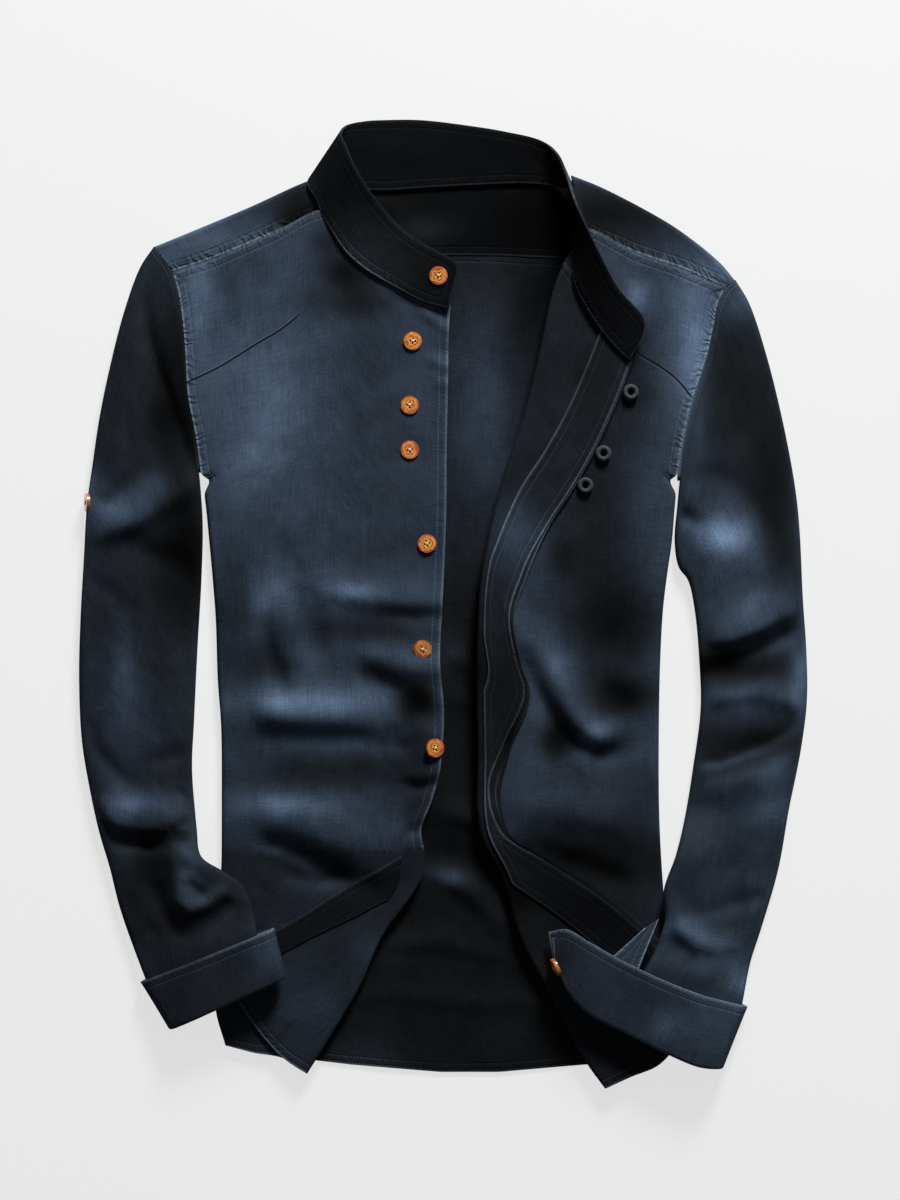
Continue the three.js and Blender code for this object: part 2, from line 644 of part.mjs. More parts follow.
// Where a sleeve and a cuff lie on the body's lower corner they are lifted by its layers
function bedHeight(x, y) {
  const down = 1 - ease(y, ...ZONES.sleeveRest);
  const across = x < 0 ? ease(x, ...ZONES.rightRestX) : 1 - ease(x, ...ZONES.leftRestX);
  return BED_HEIGHT * down * across;
}

// One ring round a flattened tube, from its outer edge over the top to its inner edge and back beneath
function tubeRing(outer, inner, options) {
  const { roll, base, topCount, bottomCount, topHeight, bulge } = options;
  const direction = inner.clone().sub(outer);
  const width = direction.length();
  direction.normalize();
  const ring = [];
  const put = (along, height) => {
    const point = outer.clone().addScaledVector(direction, along);
    point.add(bulge(along / width));
    const raised = height > roll ? topHeight(point.x, point.y, along / width) : 0;
    point.z = base + bedHeight(point.x, point.y) + height + raised;
    ring.push(point);
  };
  for (const along of steps(topCount, roll, width - roll)) put(along, 2 * roll);
  for (const angle of [Math.PI / 4, Math.PI / 2, (3 * Math.PI) / 4]) {
    put(width - roll + roll * Math.sin(angle), roll + roll * Math.cos(angle));
  }
  for (const along of steps(bottomCount, width - roll, roll)) put(along, 0);
  for (const angle of [(3 * Math.PI) / 4, Math.PI / 2, Math.PI / 4]) {
    put(roll - roll * Math.sin(angle), roll + roll * Math.cos(angle));
  }
  ring.push(ring[0].clone());
  return ring;
}

const SLEEVE_RINGS = 24;
const SLEEVE_TOP = 7;
const SLEEVE_BOTTOM = 6;
const CUFF_END = { rise: 3.2, from: 0.93, to: 0.985 };
const PRESSED_GAP = 0.4;

// A sleeve is two walls, its top and its under side, which meet along its two pressed edges
function sleeve(name, outerPoints, innerPoints, armholePoints, folds, outward) {
  const outer = line(outerPoints);
  const inner = line(innerPoints);
  const armhole = line(armholePoints);
  const start = armhole.getPointAt(0);
  const end = armhole.getPointAt(1);
  const rings = steps(SLEEVE_RINGS).map((along) => {
    const bulgeShare = (1 - ease(along, 0, 0.16));
    const bulge = (share) => {
      const straight = start.clone().lerp(end, share);
      const bowed = armhole.getPointAt(clamp(share)).sub(straight).multiplyScalar(bulgeShare);
      return bowed.add(new THREE.Vector3(outward * ARMHOLE_GAP, 0, 0)).setZ(0);
    };
    const loft = SLEEVE_LOFT * ease(along, 0, 0.12) * (1 - ease(along, 0.9, 1));
    const topHeight = (x, y, share) => {
      const middle = Math.sin(Math.PI * clamp(share));
      const folded = foldHeight(x, y, folds) * ease(along, 0, 0.08) * (1 - ease(along, 0.9, 0.98));
      return loft * middle ** 0.7 + folded * ease(middle, 0, 0.5);
    };
    const base = MIDDLE + CUFF_END.rise * ease(along, CUFF_END.from, CUFF_END.to);
    const counts = { topCount: SLEEVE_TOP, bottomCount: SLEEVE_BOTTOM };
    const options = { roll: SIDE_ROLL, base, ...counts, topHeight, bulge };
    return tubeRing(outer.getPointAt(along), inner.getPointAt(along), options);
  });
  const innerEdge = SLEEVE_TOP + 2;
  const outerEdge = innerEdge + SLEEVE_BOTTOM + 4;
  sleeveHalf(name, PRESSED_GAP, rings.map((ring) => (
    [...ring.slice(outerEdge, -1), ...ring.slice(0, innerEdge + 1)])));
  sleeveHalf(`${name}_under`, -PRESSED_GAP, rings.map((ring) => ring.slice(innerEdge, outerEdge + 1)));
}

function sleeveHalf(name, lift, rings) {
  const sheet = makeSheet();
  addRows(sheet, rings.map((ring) => {
    const half = ring.map((point) => point.clone());
    half[0].z += lift;
    half.at(-1).z += lift;
    return half;
  }));
  addPiece(name, wall(sheet, CLOTH), clothMaterial);
}

const rightArmhole = stretch(RIGHT_ARMHOLE_AND_SIDE, 0, 9);
const leftArmhole = stretch(LEFT_ARMHOLE_AND_SIDE, 0, 9);
sleeve('sleeve_right', RIGHT_SLEEVE_OUTER, RIGHT_SLEEVE_INNER, rightArmhole, RIGHT_SLEEVE_FOLDS, -1);
sleeve('sleeve_left', LEFT_SLEEVE_OUTER, LEFT_SLEEVE_INNER, leftArmhole, LEFT_SLEEVE_FOLDS, 1);

// The collar band stands on the neck seam and falls open
const COLLAR_STEPS = 38;
const COLLAR_ROWS = 3;
const footLine = new THREE.CatmullRomCurve3(
  COLLAR_BAND.map(({ foot, footHeight }) => new THREE.Vector3(...foot, footHeight)), false, 'centripetal');
const topLine = new THREE.CatmullRomCurve3(
  COLLAR_BAND.map(({ top, topHeight }) => new THREE.Vector3(...top, topHeight)), false, 'centripetal');
const collar = makeSheet();
addRows(collar, steps(COLLAR_STEPS).map((along) => {
  const foot = footLine.getPoint(along);
  const top = topLine.getPoint(along);
  return steps(COLLAR_ROWS).map((up) => foot.clone().lerp(top, up));
}));
addPiece('collar', wall(collar, DOUBLE_CLOTH), bandMaterial);

// A cuff is a doubled band, joined inside to the sleeve's end and turned back over it.
// Each station is its share of the way from the free edge to the turned edge, and how far inside it lies.
const CUFF_ROLL = 6.4;
const CUFF_NEST = 2.6;
const CUFF_STATIONS = [
  { share: CUFF_SEAM_DEPTH, inside: 1 }, { share: 0.6, inside: 1 }, { share: 0.98, inside: 1 },
  { share: 1.02, inside: 0.5 }, { share: 1, inside: 0 }, { share: 0.66, inside: 0 },
  { share: 0.33, inside: 0 }, { share: 0, inside: 0 },
];
const noBulge = () => new THREE.Vector3();
const level = () => 0;
const flatPoint = ([x, y]) => new THREE.Vector3(x, y, 0);
const along = (from, to, share) => flatPoint(from).lerp(flatPoint(to), share);

function closedCuff(name, corners, innerCorners) {
  const rings = CUFF_STATIONS.map(({ share, inside }) => {
    const outer = along(corners.freeOuter, corners.turnedOuter, share);
    const inner = along(corners.freeInner, corners.turnedInner, share);
    const nestShare = (share - CUFF_SEAM_DEPTH) / (1 - CUFF_SEAM_DEPTH);
    outer.lerp(along(innerCorners.seamOuter, innerCorners.turnedOuter, nestShare), inside);
    inner.lerp(along(innerCorners.seamInner, innerCorners.turnedInner, nestShare), inside);
    const roll = CUFF_ROLL - CUFF_NEST * inside;
    const base = DOUBLE_CLOTH / 2 + CUFF_NEST * inside;
    const counts = { topCount: 6, bottomCount: 4 };
    return tubeRing(outer, inner, { roll, base, ...counts, topHeight: level, bulge: noBulge });
  });
  const sheet = makeSheet();
  addRows(sheet, rings);
  addPiece(name, wall(sheet, DOUBLE_CLOTH), bandMaterial);
}

const RIGHT_CUFF_CORNERS = {
  freeOuter: [-224, -286], turnedOuter: [-202.5, -320],
  freeInner: [-124.5, -245], turnedInner: [-115.5, -280.5],
};
const RIGHT_CUFF_INSIDE_CORNERS = {
  seamOuter: [-216.5, -292.5], turnedOuter: [-199.8, -319],
  seamInner: [-133.5, -257.5], turnedInner: [-118.5, -281.5],
};
closedCuff('cuff_right', RIGHT_CUFF_CORNERS, RIGHT_CUFF_INSIDE_CORNERS);

// The wearer's left cuff is unbuttoned: its band opens out towards the front and curls down at its end
const OPEN_CUFF_FREE = line([
  [81, -248], [94, -245.5], [112, -255], [135, -268], [169, -284], [195, -294], [230, -304.5],
]);
const OPEN_CUFF_TURNED = line([
  [85, -268], [97, -292], [112, -307], [142, -322.5], [172, -337.5], [193, -346], [211.5, -349],
]);
const OPEN_CUFF_BACK_END = 0.5;
const CURL_LENGTH = 0.17;

function openRing({ share, inside }) {
  const place = (run) => OPEN_CUFF_FREE.getPointAt(run).lerp(OPEN_CUFF_TURNED.getPointAt(run), share);
  const roll = CUFF_ROLL - CUFF_NEST * inside;
  const base = DOUBLE_CLOTH / 2 + CUFF_NEST * inside;
  const end = place(1);
  const direction = end.clone().sub(place(0.9)).normalize();
  end.addScaledVector(direction, -CUFF_NEST * inside);
  const ring = [];
  const put = (point, height) => {
    point.z = base + bedHeight(point.x, point.y) + height;
    ring.push(point);
  };
  for (const run of steps(11, 0.015 * inside, 0.955 - 0.012 * inside)) {
    put(place(run), 2 * roll * mix(0.35, 1, ease(run, -0.03, CURL_LENGTH)));
  }
  for (const angle of [0, Math.PI / 4, Math.PI / 2, (3 * Math.PI) / 4, Math.PI]) {
    put(end.clone().addScaledVector(direction, roll * (Math.sin(angle) - 1)), roll * (1 + Math.cos(angle)));
  }
  for (const run of steps(4, 0.93, OPEN_CUFF_BACK_END)) put(place(run), 0);
  return ring;
}

const openCuff = makeSheet();
addRows(openCuff, CUFF_STATIONS.map(openRing));
addPiece('cuff_left', wall(openCuff, DOUBLE_CLOTH), bandMaterial);

// The slit above the left cuff stands open: its under side runs from the slit's top to the cuff's free edge
const SLIT_TOP = { x: 163, y: -238, height: BED_HEIGHT + 9 };
const SLIT_FOOT = [
  { x: 147.5, y: -276, height: BED_HEIGHT + 11.8 },
  { x: 138, y: -272.5, height: BED_HEIGHT + 11.8 },
  { x: 127, y: -267, height: BED_HEIGHT + 11.8 },
];
const SLIT_SHOULDER = { x: 152, y: -245, height: BED_HEIGHT + 11 };
const slitPoint = ({ x, y, height }) => new THREE.Vector3(x, y, height);
const slitLine = (places) => new THREE.CatmullRomCurve3(places.map(slitPoint), false, 'centripetal');
const slitFoot = slitLine(SLIT_FOOT);
const slitBrow = slitLine([SLIT_TOP, SLIT_SHOULDER]);
const sleevePlacket = makeSheet();
addRows(sleevePlacket, steps(5).map((across) => {
  const head = slitBrow.getPoint(across);
  const foot = slitFoot.getPoint(across);
  return steps(4).map((down) => head.clone().lerp(foot, down));
}));
addPiece('sleeve_placket_left', wall(sleevePlacket, CLOTH), bandMaterial);

// What lies on a piece is set on it by looking straight down at its faces
group.updateMatrixWorld(true);
const eye = new THREE.Raycaster();
const SKY = 80;

function surfaceDistance(mesh, from, direction) {
  eye.set(from, direction);
  const hit = eye.intersectObject(mesh)[0];
  return hit ? hit.distance : Infinity;
}

function heightOn(mesh, x, y) {
  return SKY - surfaceDistance(mesh, new THREE.Vector3(x, y, SKY), new THREE.Vector3(0, 0, -1));
}

// The doubled placket strips that show where the fronts are turned inside out
const STRIP_LIFT = MIDDLE + SEAM_GAP + 0.5;

function strip(name, rows, mesh) {
  const sheet = makeSheet();
  rows.forEach((row) => row.forEach((point) => {
    point.z = heightOn(mesh, point.x, point.y) + STRIP_LIFT;
  }));
  addRows(sheet, rows);
  addPiece(name, wall(sheet, CLOTH), bandMaterial);
}

const piece = (name) => group.getObjectByName(name);
const STRIP_COLUMNS = 4;
const STRIP_ROWS = 34;
const EDGE_STEP = { upper: 1.5, lower: 4.6 };

strip('placket_left', steps(STRIP_ROWS, 0.012, 0.985).map((down) => {
  const edge = leftTurned.right.getPointAt(down);
  const fold = leftMain.right.getPointAt(down);
  const width = edge.distanceTo(fold);
  const inset = mix(EDGE_STEP.lower, EDGE_STEP.upper, ease(edge.y, ...ZONES.edgeStep));
  const reach = Math.min(PLACKET_WIDTH, width - 5.5);
  return steps(STRIP_COLUMNS, inset, reach).map((distance) => edge.clone().lerp(fold, distance / width));
}), piece('front_left'));

strip('placket_right', steps(9, 0.1, 0.97).map((across) => {
  const edge = patchPoint(rightCorner, across, 0);
  const below = patchPoint(rightCorner, across, 1);
  const width = edge.distanceTo(below);
  const reach = Math.min(PLACKET_WIDTH, width - 1);
  const distances = steps(STRIP_COLUMNS, EDGE_STEP.upper, reach);
  return distances.map((distance) => patchPoint(rightCorner, across, distance / width));
}), piece('front_right'));

// Four-hole buttons with a raised rim
const BUTTON_RADIUS = BUTTON_DIAMETER / 2;
const BUTTON_SIDES = 16;

function solidOf(geometry) {
  const plain = geometry.clone();
  plain.deleteAttribute('normal');
  plain.deleteAttribute('uv');
  const merged = BufferGeometryUtils.mergeVertices(plain, 1e-4);
  const vertProperties = new Float32Array(merged.attributes.position.array);
  const triVerts = new Uint32Array(merged.index.array);
  return new wasm.Manifold(new wasm.Mesh({ numProp: 3, vertProperties, triVerts }));
}

function geometryOf(solid) {
  const mesh = solid.getMesh();
  const geometry = new THREE.BufferGeometry();
  geometry.setAttribute('position', new THREE.Float32BufferAttribute(mesh.vertProperties, 3));
  geometry.setIndex([...mesh.triVerts]);
  geometry.computeVertexNormals();
  return geometry;
}

function buttonGeometry() {
  const dish = BUTTON_THICKNESS - 0.8;
  const profile = [
    [0, 0], [BUTTON_RADIUS - 1, 0], [BUTTON_RADIUS, 1], [BUTTON_RADIUS - 0.2, 2],
    [BUTTON_RADIUS - 1.1, BUTTON_THICKNESS], [BUTTON_RADIUS - 2.4, dish], [0, dish],
  ].map(([radius, height]) => new THREE.Vector2(radius, height));
  const body = new THREE.LatheGeometry(profile, BUTTON_SIDES);
  body.rotateX(Math.PI / 2);
  let solid = solidOf(body);
  for (const [x, y] of [[1, 1], [-1, 1], [-1, -1], [1, -1]]) {
    const hole = new THREE.CylinderGeometry(BUTTON_HOLE / 2, BUTTON_HOLE / 2, 3 * BUTTON_THICKNESS, 6);
    hole.rotateX(Math.PI / 2);
    hole.translate((x * BUTTON_HOLE_SPACING) / 2, (y * BUTTON_HOLE_SPACING) / 2, 0);
    solid = solid.subtract(solidOf(hole));
  }
  return geometryOf(solid);
}

// Sets a flat thing on a piece, square to an axis, just clear of the highest spot under it
function seatOn(mesh, point, axis, radius) {
  const turn = new THREE.Quaternion().setFromUnitVectors(new THREE.Vector3(0, 0, 1), axis);
  const inward = axis.clone().negate();
  let nearest = Infinity;
  for (const ringRadius of steps(4, 0, radius)) {
    for (let spot = 0; spot < 16; spot += 1) {
      const angle = (spot * Math.PI) / 8;
      const offset = new THREE.Vector3(ringRadius * Math.cos(angle), ringRadius * Math.sin(angle), SKY);
      const from = point.clone().add(offset.applyQuaternion(turn));
      nearest = Math.min(nearest, surfaceDistance(mesh, from, inward));
    }
  }
  return { place: point.clone().addScaledVector(axis, SKY - nearest + SEAM_GAP), turn };
}

// The way a surface faces under a button, from the heights round it
function facing(mesh, x, y, reach) {
  const slopeX = (heightOn(mesh, x + reach, y) - heightOn(mesh, x - reach, y)) / (2 * reach);
  const slopeY = (heightOn(mesh, x, y + reach) - heightOn(mesh, x, y - reach)) / (2 * reach);
  return new THREE.Vector3(-slopeX, -slopeY, 1).normalize();
}

const buttonShape = buttonGeometry();

function addButton(name, mesh, point, axis) {
  const { place, turn } = seatOn(mesh, point, axis, BUTTON_RADIUS);
  const button = addPiece(name, buttonShape.clone(), hornMaterial);
  button.position.copy(place);
  button.quaternion.copy(turn);
}

for (const { name, at, on } of BUTTONS) {
  const [x, y] = at;
  addButton(name, piece(on), flatPoint(at), facing(piece(on), x, y, 5));
}
const SIDE_BUTTONS = [
  { name: 'button_sleeve_tab', at: [-260.3, 73, 7.6], axis: [-0.96, 0, 0.28], on: 'sleeve_right' },
  { name: 'button_cuff', at: [94, -270, 19], axis: [-0.88, -0.42, 0.22], on: 'cuff_left' },
];
for (const { name, at, axis, on } of SIDE_BUTTONS) {
  addButton(name, piece(on), new THREE.Vector3(...at), new THREE.Vector3(...axis).normalize());
}

// Corded button loops stand out from the turned front edge and lie on the cloth beneath
for (const { name, edge, out } of LOOPS) {
  const ring = new THREE.TorusGeometry(LOOP_RING, LOOP_ROLL, 6, 12);
  const reach = LOOP_RING + LOOP_ROLL + SEAM_GAP;
  const centre = new THREE.Vector3(edge[0] + out[0] * reach, edge[1] + out[1] * reach, 0);
  const axis = facing(piece('front_left'), centre.x, centre.y, 4);
  const { place, turn } = seatOn(piece('front_left'), centre, axis, LOOP_RING);
  const loop = addPiece(name, ring, bandMaterial);
  loop.position.copy(place).addScaledVector(axis, LOOP_ROLL);
  loop.quaternion.copy(turn);
}

export default group;
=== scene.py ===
# A mandarin collar shirt of washed slate navy twill, laid flat on its back and open at the front.
# The neck points along +Y, the wearer's left lies along +X, and the floor is z = 0.
import math

import bpy
import numpy as np
from mathutils import Matrix, Vector
from mathutils.bvhtree import BVHTree


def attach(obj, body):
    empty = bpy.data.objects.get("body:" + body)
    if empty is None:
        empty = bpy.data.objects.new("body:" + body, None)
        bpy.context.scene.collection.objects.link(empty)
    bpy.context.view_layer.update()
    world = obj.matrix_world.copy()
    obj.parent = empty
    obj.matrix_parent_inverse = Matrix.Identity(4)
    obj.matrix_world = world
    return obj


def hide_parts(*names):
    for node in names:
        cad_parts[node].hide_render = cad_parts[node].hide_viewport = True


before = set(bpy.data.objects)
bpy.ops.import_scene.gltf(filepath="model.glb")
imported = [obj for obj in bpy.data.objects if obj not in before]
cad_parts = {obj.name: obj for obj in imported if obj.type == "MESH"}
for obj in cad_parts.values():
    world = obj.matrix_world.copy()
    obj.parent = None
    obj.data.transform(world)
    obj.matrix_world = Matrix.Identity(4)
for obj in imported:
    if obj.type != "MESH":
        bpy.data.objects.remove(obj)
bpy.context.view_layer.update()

# The right front, one panel of twill from the yoke to the hem. Its lower corner is turned up over
# itself, so that its inside shows there, and its side is turned under to meet the back. It is made as
# rows between its outlines, which have x and y in millimetres as seen from above.
MM = 0.001
CLOTH = 1.0
MIDDLE = 0.6
TURN_UNDER = 12
SIDE_ROLL = 3.75
HEM_ROLL = 2.2
FOLD_ROLL = 2.4
FRONT_EDGE_HEIGHT = 6.9
BODY_LOFT = 3.2
SIDE_REACH = 19
TURNED_GAP = 2.6
FINE = 8
UPPER_ROWS = 20 * FINE
CORNER_ROWS = 7 * FINE
ROLL_STEPS = 10
UNDER_STEPS = 5
HEM_LOFT = 0.6
HEM_WAVES = 0.25
FOLD_DEPTH = 0.7
# How strongly crease flanks facing the first row are painted lighter, and those facing away darker: painted
# light and shade
FLANK_PAINTED_LIGHT = 0.3
BLUR_ROUNDS = 14
FADE_AND_SHADE_LIMITS = (-0.4, 0.8)
RUN_START = 700
# Where each change begins and ends: by y, or by the distance from a side, an edge or a fold
HEM_ROLL_ZONE = (-215, -150)
HEM_LOFT_ZONE = (-215, -140)
HEM_FOLD_ZONE = (-245, -205)
UNDERARM_ZONE = (78, 96)
SIDE_LOFT_ZONE = (0, 60)
SIDE_FOLD_ZONE = (-6, 22)
SIDE_WAVE_ZONE = (-4, 12)
EDGE_DIP_ZONE = (0, 45)
FOLD_SETTLE_ZONE = (2, 34)
# Stands for a place that no seam, line or crease is near to
FAR = 60.0
RIGHT_SIDE = [
    [-214, 265], [-206.5, 256], [-200.5, 246], [-196, 230], [-193, 210], [-191, 187], [-189, 154],
    [-183, 122], [-179.5, 97], [-176, 75], [-173, 45], [-170, 12], [-168, -15], [-166.5, -60],
    [-164, -95], [-163.5, -150], [-164, -201], [-167, -255], [-168.5, -306], [-161, -334.5],
]
RIGHT_YOKE_SEAM = [[-200.5, 246], [-169, 256.5], [-127, 274], [-86, 292]]
RIGHT_NECK = [[-86, 292], [-77, 279], [-66, 263], [-52, 250], [-30, 237], [-11, 227], [8, 223]]
RIGHT_FRONT_EDGE = [
    [8, 223], [6.5, 200], [6, 165], [5, 112], [4.5, 60], [2, 0], [0, -45], [3, -85], [0, -127],
    [-6, -150], [-14, -172], [-12, -187],
]
RIGHT_FOLD = [[-12, -187], [-14, -208], [-45, -255], [-60, -289], [-78, -320], [-100, -355]]
RIGHT_FOLD_ROW = [[-163.7, -192], [-90, -190], [-12, -187]]
RIGHT_HEM = [[-161, -334.5], [-140, -340], [-118, -344], [-100, -355]]
RIGHT_TURNED_EDGE = [[-12, -187], [-26, -189], [-52, -204], [-75, -217], [-120, -245], [-162, -264]]
RIGHT_TURNED_HEM = [[-100, -355], [-118, -343], [-134, -326], [-151, -302], [-164, -281]]
# Creases of both fronts. The crest's points have x, y and height, and a crease spreads by one
# width to the left of its run and by another to the right. A trough has negative heights.
BODY_FOLDS = [
    ([[-134, 39, 0.8], [-124, 15, 3], [-114, -15, 4.8], [-107, -45, 5.2], [-104, -67, 3]], 11, 12),
    ([[-134, -10, 0], [-132, -24, -3], [-128, -40, -3.6], [-121, -56, -3.4], [-117, -68, -2]], 7, 9),
    ([[-106, 12, 0], [-97, -10, -2.4], [-90, -38, -3], [-83, -56, -2]], 9, 10),
    ([[-103, 17, 0.5], [-83, 9, 4], [-60, 3, 5.2], [-30, 0, 5], [4, -2, 3.4]], 17, 9),
    ([[-44, -12, -1], [-20, -13, -2.4], [4, -12, -1.6]], 6, 6),
    ([[-62, -35, 1], [-50, -43, 5.4], [-34, -48, 6.8], [-14, -50, 6.8], [4, -50, 4]], 14, 11),
    ([[-56, -54, -2], [-38, -65, -4], [-20, -76, -4.2], [-6, -88, -3.6], [0, -103, -1.6]], 9, 9),
    ([[-166, -62, 2.5], [-151, -77, 7], [-134, -85, 9], [-105, -87, 9.2], [-60, -87, 8.6],
      [-32, -89, 6.4], [-18, -96, 1.6]], 19, 14),
    ([[-166, -67, -3.5], [-158, -73, -3.5], [-154, -76, 0]], 5, 5),
    ([[-150, -96, -1.2], [-105, -102, -1.8], [-60, -104, -1.8], [-30, -112, -1]], 7, 10),
    ([[-162, -154, 4], [-135, -161, 6.6], [-112, -166, 7.2], [-90, -174, 7.2], [-67, -186, 6.2],
      [-46, -197, 3]], 22, 15),
    ([[-150, -182, -2.4], [-124, -187, -3.6], [-98, -198, -3.8], [-76, -210, -3.8],
      [-52, -216, -2.6]], 9, 10),
    ([[-164, -184, -4.4], [-155, -195, -4.6], [-149, -207, -2]], 7, 7),
    ([[-146, -187, 1.4], [-124, -191, 2.6], [-105, -199, 2.4], [-93, -209, 1]], 6, 6),
    ([[-112, -207, -1.4], [-92, -212, -2.6], [-72, -206, -2.2]], 6, 6),
    ([[-138, -208, 0], [-136, -216, -2], [-132, -226, -1]], 4, 4),
    ([[-30, -128, 0], [-19, -132, 2.8], [-5, -130, 2]], 10, 4),
    ([[-26, -139, -1], [-14, -141, -2.8], [-4, -137, -1.6]], 4, 5),
    ([[-36, -110, 0], [-26, -110, -1.8], [-14, -104, -1]], 5, 5),
    ([[-25, -176, -1], [-20, -173, -2.6], [-16, -170, -1]], 4, 4),
    ([[-20, -160, 0], [-12, -162, 1.4], [-6, -158, 1]], 7, 4),
    ([[-128, 180, 0.6], [-96, 196, 1.8], [-60, 210, 1]], 22, 22),
    ([[-112, 150, 0], [-104, 120, -1], [-96, 90, -1.2], [-84, 55, -0.8], [-70, 30, 0]], 14, 18),
    ([[-161, 246, 0], [-160, 230, -1.8], [-157, 206, -1.4], [-152, 190, 0]], 6, 8),
    ([[-84, 270, 0], [-78, 244, -1.6], [-68, 216, -1.6], [-60, 190, 0]], 10, 14),
    ([[-18, 223, 0], [-10, 214, 1.8], [4, 203, 2.4]], 4, 3.4),
    ([[-14, 196, 0], [-6, 190, -1], [5, 186, -1.4]], 5, 5),
    ([[-12, 186, 0], [-4, 178, 1.2], [5, 174, 1.8]], 3.5, 3),
    ([[-8, 170, 0], [-2, 163, 1], [5, 161, 1.4]], 4, 3),
    ([[-118, 48, 0], [-112, 34, -1.2], [-106, 22, -0.8]], 5, 5),
    ([[-150, 104, 0], [-120, 98, 1], [-88, 104, 0.7], [-60, 100, 0]], 12, 10),
    ([[-154, 60, 0], [-148, 30, 1.2], [-140, -6, 1.4], [-142, -44, 1.4]], 9, 9),
    ([[60, -22, 3], [75, -36, 6.6], [86, -57, 8.6], [95, -75, 9.2], [106, -91, 9.2], [120, -99, 8],
      [139, -96, 6.2], [168, -97, 4.4]], 15, 12),
    ([[67, -52, -2], [78, -75, -4.2], [89, -94, -4.8], [104, -109, -5], [120, -116, -4.2],
      [139, -111, -2.4], [152, -104, -0.6]], 6, 9),
    ([[116, -62, -1], [134, -70, -3.2], [152, -79, -3.8], [168, -87, -3.4]], 10, 7),
    ([[140, -52, 0], [152, -58, 1.6], [168, -62, 1.4]], 8, 7),
    ([[96, -10, 0.4], [112, -20, -1.4], [130, -32, -1.2], [146, -36, 0]], 12, 12),
    ([[120, 10, 0.6], [136, 46, 1.8], [152, 92, 1.8], [170, 140, 0.8]], 20, 20),
    ([[130, 150, 0], [146, 146, -1.2], [168, 150, -1]], 10, 10),
    ([[150, 22, 0], [156, 0, 2], [158, -26, 1.4], [160, -40, 0]], 8, 6),
    ([[60, -146, 1], [90, -158, 3.4], [124, -164, 4], [166, -170, 3.4]], 22, 12),
    ([[72, -188, -2], [104, -199, -4], [136, -211, -4.4], [164, -218, -3.4]], 9, 12),
]
LINE_SAMPLES = 48
# Where the tone is paler or darker, partly washed-out dye and partly painted light and shade: x, y, spread
# along x and along y, and the change
FRONT_FADE_AND_SHADE = [
    [-130, 155, 42, 62, 0.18], [-182, 225, 13, 48, 0.18], [-92, 222, 16, 14, -0.10],
    [-36, 110, 22, 90, -0.05],
    [-40, 40, 50, 20, -0.05], [-158, 0, 15, 42, -0.12], [-130, 4, 13, 18, 0.20], [-72, 5, 30, 9, 0.18],
    [-52, -22, 52, 11, -0.22], [-132, -46, 16, 13, -0.20], [-96, -76, 60, 11, 0.16],
    [-16, -74, 12, 12, -0.30],
    [-80, -128, 66, 15, -0.20], [-14, -110, 12, 22, -0.22], [-118, -154, 38, 9, 0.16],
    [-16, -152, 14, 20, -0.22],
    [-96, -212, 66, 18, -0.46], [-156, -200, 14, 20, -0.14], [-110, -300, 60, 40, -0.03],
    [-125, -78, 50, 10, 0.05], [-60, 150, 30, 60, -0.05], [-156, -30, 12, 40, -0.10],
    [-60, -125, 60, 12, -0.06],
    [158, 70, 13, 120, 0.02], [192, 190, 18, 56, 0.28], [116, 70, 32, 110, -0.27], [134, -18, 30, 30, -0.36],
    [141, 165, 22, 42, -0.18], [-72, 4, 18, 8, 0.06], [-85, -104, 60, 9, 0.10], [-118, -152, 34, 10, 0.08],
    [88, -48, 14, 18, 0.14], [138, -70, 26, 13, -0.36], [90, -106, 12, 12, -0.26], [112, -132, 54, 18, -0.06],
    [112, -198, 72, 28, -0.44], [150, -150, 20, 20, -0.10], [120, -245, 40, 24, -0.34],
    [150, -300, 40, 40, -0.16],
    [-21, -76, 13, 12, -0.28], [92, 33, 12, 14, -0.20], [88, -104, 11, 11, -0.20], [122, 195, 16, 14, -0.18],
    [138, -76, 16, 11, -0.20], [-72, 246, 16, 11, -0.30], [-60, 222, 20, 12, -0.20], [114, -100, 12, 8, 0.26],
    [-142, 100, 24, 22, 0.10], [-92, -302, 26, 22, 0.10], [-85, -208, 40, 12, -0.14],
    [146, 228, 9, 13, 0.24], [138, 195, 14, 12, -0.20], [114, 168, 14, 12, -0.16], [-142, -102, 20, 8, -0.10],
    [-48, -50, 14, 8, -0.14], [-20, -78, 12, 12, -0.22], [88, -102, 10, 12, -0.18], [-48, -264, 14, 14, 0.12],
    [-62, 236, 22, 20, -0.14], [-82, 268, 14, 12, -0.20],
]


def mix(a, b, share):
    return a + (b - a) * share


def ease(value, start, end):
    share = np.clip((np.asarray(value, float) - start) / (end - start), 0, 1)
    return share * share * (3 - 2 * share)


def plateau(value, start, full, fall, end):
    """Rises from 0 to 1, stays there and falls back to 0."""
    return ease(value, start, full) * (1 - ease(value, fall, end))


